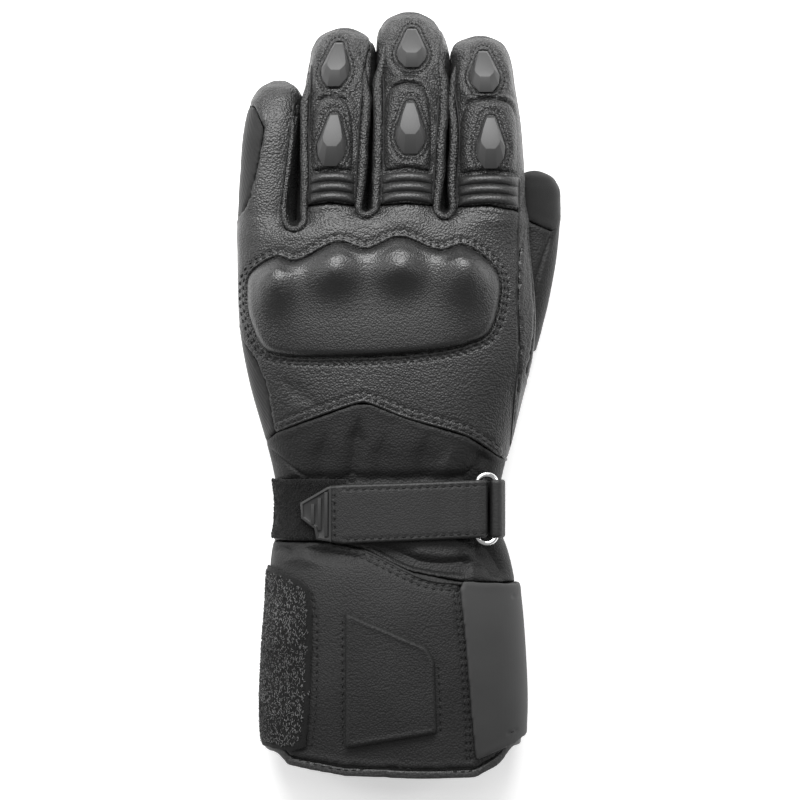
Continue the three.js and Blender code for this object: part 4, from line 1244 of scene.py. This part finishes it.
def addTab():
    bpy.ops.object.select_all(action="DESELECT")
    outline = tabShape["outline"]
    bpy.ops.mesh.primitive_circle_add(vertices=len(outline), radius=5 * mm, fill_type="NGON")
    tab = bpy.context.active_object
    tab.name = "pull_tab_moulding"
    for vertex, (x, y) in zip(tab.data.vertices, outline[::-1]):
        vertex.co = (x * mm, y * mm, 0)
    bpy.ops.object.mode_set(mode="EDIT")
    bpy.ops.mesh.select_all(action="SELECT")
    bpy.ops.mesh.extrude_region_move(TRANSFORM_OT_translate={"value": (0, 0, tabShape["thickness"] * mm)})
    bpy.ops.mesh.inset(thickness=tabShape["rim"] * mm)
    bpy.ops.transform.translate(value=(0, 0, tabShape["rimRise"] * mm))
    bpy.ops.mesh.inset(thickness=tabShape["lip"] * mm)
    bpy.ops.transform.translate(value=(0, 0, -tabShape["sunk"] * mm))
    bpy.ops.mesh.select_all(action="SELECT")
    bpy.ops.mesh.normals_make_consistent(inside=False)
    bpy.ops.object.mode_set(mode="OBJECT")
    parts = [tab]
    for x, length in tabShape["ridges"]:
        bpy.ops.mesh.primitive_cube_add(size=1)
        ridge = bpy.context.active_object
        ridge.scale = (tabShape["ridgeWidth"] * mm, length * mm, tabShape["ridgeHeight"] * mm)
        ridge.location = (x * mm, tabShape["middle"] * mm, (tabShape["thickness"] - 0.1) * mm)
        bpy.ops.object.transform_apply(location=True, rotation=True, scale=True)
        parts.append(ridge)
    bpy.ops.object.select_all(action="DESELECT")
    for part in parts:
        part.select_set(True)
    bpy.context.view_layer.objects.active = tab
    bpy.ops.object.join()
    bevel = tab.modifiers.new("soft edges", "BEVEL")
    bevel.width = tabShape["bevel"] * mm
    bevel.segments = 2
    bpy.ops.object.modifier_apply(modifier="soft edges")
    for vertex in tab.data.vertices:
        x, y = vertex.co.x / mm, vertex.co.y / mm
        vertex.co.z += (heightOf(tubes["hand"], x, y) + tabShape["lift"]) * mm
    finish(tab, "tabRubber", "rubber", "pull_tab")
    bpy.ops.object.shade_smooth_by_angle(angle=math.radians(30))


addTab()

print("cuff pad")
cuffPadShape = {
    "corners": [(-22.7, -90.5), (11.5, -105.2), (14.7, -111.1), (15.6, -141.3), (-22.7, -147.6)],
    "centre": (-4, -124),
    "height": 2.2, "shoulder": 1.4,
    "piping": (0.3, 1.6, 0.8),  # height, distance from the edge, half width
}


def cornered(points, step=0.8, radius=1.4):
    # straight sides with small rounded corners
    line = []
    for i, point in enumerate(points):
        before, after = np.array(points[i - 1], float), np.array(points[(i + 1) % len(points)], float)
        corner = np.array(point, float)
        a = corner + (before - corner) / np.hypot(*(before - corner)) * radius
        b = corner + (after - corner) / np.hypot(*(after - corner)) * radius
        line += [a * (1 - t) ** 2 + 2 * corner * t * (1 - t) + b * t**2 for t in (0, 0.25, 0.5, 0.75, 1)]
    line.append(line[0])
    line = np.array(line)
    run = np.append(0, np.cumsum(np.hypot(*np.diff(line, axis=0).T)))
    at = np.linspace(0, run[-1], int(run[-1] / step), endpoint=False)
    return np.stack([np.interp(at, run, line[:, k]) for k in (0, 1)], 1)


def cuffPadRise(x, y, edge):
    height, at, width = cuffPadShape["piping"]
    rise = cuffPadShape["height"] * shoulder(edge, cuffPadShape["shoulder"])
    return 0.1 + rise + height * dip(edge - at, width)


cuffPad = crowned(
    "cuff_pad_panel", cornered(cuffPadShape["corners"]), cuffPadShape["centre"], tubes["hand"], cuffPadRise,
    rim=(0, 0.2, 0.45, 0.75, 1.1, 1.5, 2.0, 2.6), rings=22,
)
finish(cuffPad, "cuff", "leather", "cuff_pad")

# Stitches: each a short thread that dips into the leather at both ends
stitchShape = {
    "sides": 6,
    # place along the stitch, share of the radius, lift mm
    "rings": [(-0.5, 0.25, -0.45), (-0.36, 0.8, -0.05), (0, 1, 0.12), (0.36, 0.8, -0.05), (0.5, 0.25, -0.45)],
}


def addStitches(name, lines, surface, pitch=stitching["pitch"], length=stitching["length"]):
    points, faces = [], []
    sides = stitchShape["sides"]
    for line in lines:
        run = np.append(0, np.cumsum(np.hypot(*np.diff(line, axis=0).T)))
        count = max(int(run[-1] / pitch), 1)
        for k in range(count):
            middle = (k + 0.5) * run[-1] / count
            ends = []
            for side in (-0.5, 0.5):
                at = middle + side * length
                x, y = (float(np.interp(at, run, line[:, axis])) for axis in (0, 1))
                hit, normal, face, away = surface.ray_cast(Vector((x, y, 150)) * mm, Vector((0, 0, -1)))
                ends.append((hit, normal))
            if ends[0][0] is None or ends[1][0] is None:
                continue
            a, b = ends[0][0] / mm, ends[1][0] / mm
            if (b - a).length > 1.8 * length:
                continue
            up = (ends[0][1] + ends[1][1]).normalized()
            sideways = (b - a).cross(up).normalized()
            start = len(points)
            for share, wide, lift in stitchShape["rings"]:
                centre = (a + b) / 2 + (b - a) * share + up * (lift + 0.1)
                for j in range(sides):
                    angle = 2 * math.pi * j / sides
                    turn = sideways * math.cos(angle) + up * math.sin(angle)
                    points.append(centre + turn * (stitching["radius"] * wide))
            rings = len(stitchShape["rings"])
            for i in range(rings - 1):
                for j in range(sides):
                    q = (j + 1) % sides
                    faces.append((start + i * sides + j, start + i * sides + q,
                                  start + (i + 1) * sides + q, start + (i + 1) * sides + j))
            faces.append(tuple(start + j for j in range(sides))[::-1])
            faces.append(tuple(start + (rings - 1) * sides + j for j in range(sides)))
    piece = meshOf(name, np.array([tuple(p) for p in points]), faces)
    piece.data.materials.append(materials["threadAndShadeLines"])
    piece.data.polygons.foreach_set("use_smooth", [True] * len(piece.data.polygons))
    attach(piece, "root")
    return piece


loopShape = {
    "wale": 1.3,  # width of a knitted wale, mm, and the share of its wave that holds loops
    "waleShare": 0.8,
    "scatter": 0.3, "lean": 0.35, "twist": 0.45,
    "size": (0.7, 1.3),
    "rings": 6, "sides": 4,
}
loops = {
    # name: (patch, yarn, seed, share of the ground, radius mm, yarn radius mm, bare margin mm)
    "pile_loops": ("wrist_loop_patch", "darkLoop", 3, 0.75, 0.42, 0.11, 0.3),
    "dark_loops": ("cuff_loop_patch", "darkLoop", 5, 0.45, 0.45, 0.12, 2.2),
    "light_loops": ("cuff_loop_patch", "lightLoop", 7, 0.42, 0.42, 0.1, 2.2),
}


def addLoops(name, node, material, seed, share, radius, yarn, margin):
    # small loops of yarn standing on the outer face of a patch
    points, outward, facing, edge = faces[node]
    pick = np.random.default_rng(seed)
    wave = np.sin(math.pi * (points[:, 0] + points[:, 2]) / loopShape["wale"])
    wales = np.abs(wave) < loopShape["waleShare"]
    ground = np.flatnonzero((facing > 0.8) & (edge > margin) & wales)
    ground = pick.choice(ground, int(len(ground) * share), replace=False)
    scatter, many = loopShape["scatter"], (len(ground), 3)
    at = points[ground] + pick.uniform(-scatter, scatter, many) * (1, 1, 0.2)
    up = outward[ground] + pick.normal(0, loopShape["lean"], many)
    up /= np.linalg.norm(up, axis=1)[:, None]
    side = np.cross(up, pick.normal(0, loopShape["twist"], many) + (1, 0, 0))
    side /= np.linalg.norm(side, axis=1)[:, None]
    cross = np.cross(up, side)
    size = radius * pick.uniform(*loopShape["size"], len(ground))[:, None]
    rings, sides = loopShape["rings"], loopShape["sides"]
    rows = []
    for i in range(rings):
        turn = math.pi * (i / (rings - 1) * 1.2 - 0.1)
        middle = at + (side * math.cos(turn) + up * math.sin(turn) * 0.6) * size
        for j in range(sides):
            angle = 2 * math.pi * j / sides
            lean = side * math.cos(turn) + up * math.sin(turn)
            rows.append(middle + (cross * math.cos(angle) + lean * math.sin(angle)) * yarn)
    grid = np.stack(rows, 1)
    quads = []
    for i in range(rings - 1):
        for j in range(sides):
            q = (j + 1) % sides
            quads.append((i * sides + j, i * sides + q, (i + 1) * sides + q, (i + 1) * sides + j))
    start = np.arange(len(ground))[:, None, None] * rings * sides
    allQuads = (np.array(quads)[None] + start).reshape(-1, 4).tolist()
    mesh = bpy.data.meshes.new(name)
    mesh.from_pydata((grid.reshape(-1, 3) * mm).tolist(), [], allQuads)
    piece = bpy.data.objects.new(name, mesh)
    bpy.context.scene.collection.objects.link(piece)
    mesh.materials.append(materials[material])
    mesh.polygons.foreach_set("use_smooth", [True] * len(mesh.polygons))
    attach(piece, "root")


print("seams")
sideSeam = [(50.2, 88.8), (49.4, 55.2), (48.9, 40.5), (49.8, 18.3), (48.1, -1), (46.4, -21.6)]
seams = {
    # name: (line in plan, radius mm, how deep its middle lies mm, material); the thin black tubes are painted
    # shadow lines in the seams' grooves
    "side_wall": (smoothLine(sideSeam), 0.42, 0.12, "threadAndShadeLines"),
    "yoke_edge": (smoothLine([(x, y + 0.6) for x, y in yokeSeam]), 0.75, 0.3, "leather"),
    "cuff_edge": (smoothLine([(x, y - 0.55) for x, y in [(-36, -61.2)] + cuffSeam]), 0.75, 0.35, "cuff"),
}
# thin black tubes along the finger seams and round each slider's rim: painted shadow lines in the grooves and
# gaps
for name, line in seamLines.items():
    seams[name] = (smoothLine(line[1:]), 0.34, 0.05, "threadAndShadeLines")
for name, slider in sliders.items():
    seams["slider_" + name] = (ovalOf(slider, 0.3), 0.34, 0.1, "threadAndShadeLines")


def addSeam(name, line, radius, depth, material, surface):
    # a turned edge lying in the groove between two pieces; a thin black tube there paints the groove's shadow
    # line
    level = []
    for x, y in line.tolist():
        hit = surface.ray_cast(Vector((x, y, 150)) * mm, Vector((0, 0, -1)))[0]
        level.append(hit.z / mm if hit else (level[-1] if level else heightOf(tubes["hand"], x, y)))
    height = smoothed(np.array(level), 10) - depth
    piece = tubeAlong("seam_" + name, np.column_stack([line, height]), np.full(len(line), radius), 10)
    finish(piece, material, "leather")


leatherTop = surfaceOf([piece for piece in topPieces if not piece.name.startswith("slider")])
for name, (line, radius, depth, material) in seams.items():
    addSeam(name, line, radius, depth, material, leatherTop)

print("loops")
for name, row in loops.items():
    addLoops(name, *row)

print("stitches")
surface = surfaceOf(topPieces)
for group in ("guard", "yoke", "cuff", "flap", "pad", "patch", "hem", "strap"):
    rows = [line for name, line in stitchRows.items() if name.startswith(group)]
    addStitches("stitches_" + group, rows, surface)
sliderStitching = {"outside": 2.0, "pitch": 1.7, "length": 1.0}
addStitches(
    "stitches_sliders", [ovalOf(slider, sliderStitching["outside"]) for slider in sliders.values()], surface,
    sliderStitching["pitch"], sliderStitching["length"],
)

addCamera()
addLamps()
bpy.ops.mesh.primitive_plane_add(size=8, location=(0, 0, -0.0002))
floor = bpy.context.active_object
floor.name = "floor"
paper, paperTree, paperShader, paperPlace = newMaterial("white_paper", 0.9, specular=0.2)
paperShader.inputs["Base Color"].default_value = toLinear("#f4f4f4")
paperShader.inputs["Emission Color"].default_value = (1, 1, 1, 1)
paperShader.inputs["Emission Strength"].default_value = studio["paperGlow"]
floor.data.materials.append(paper)
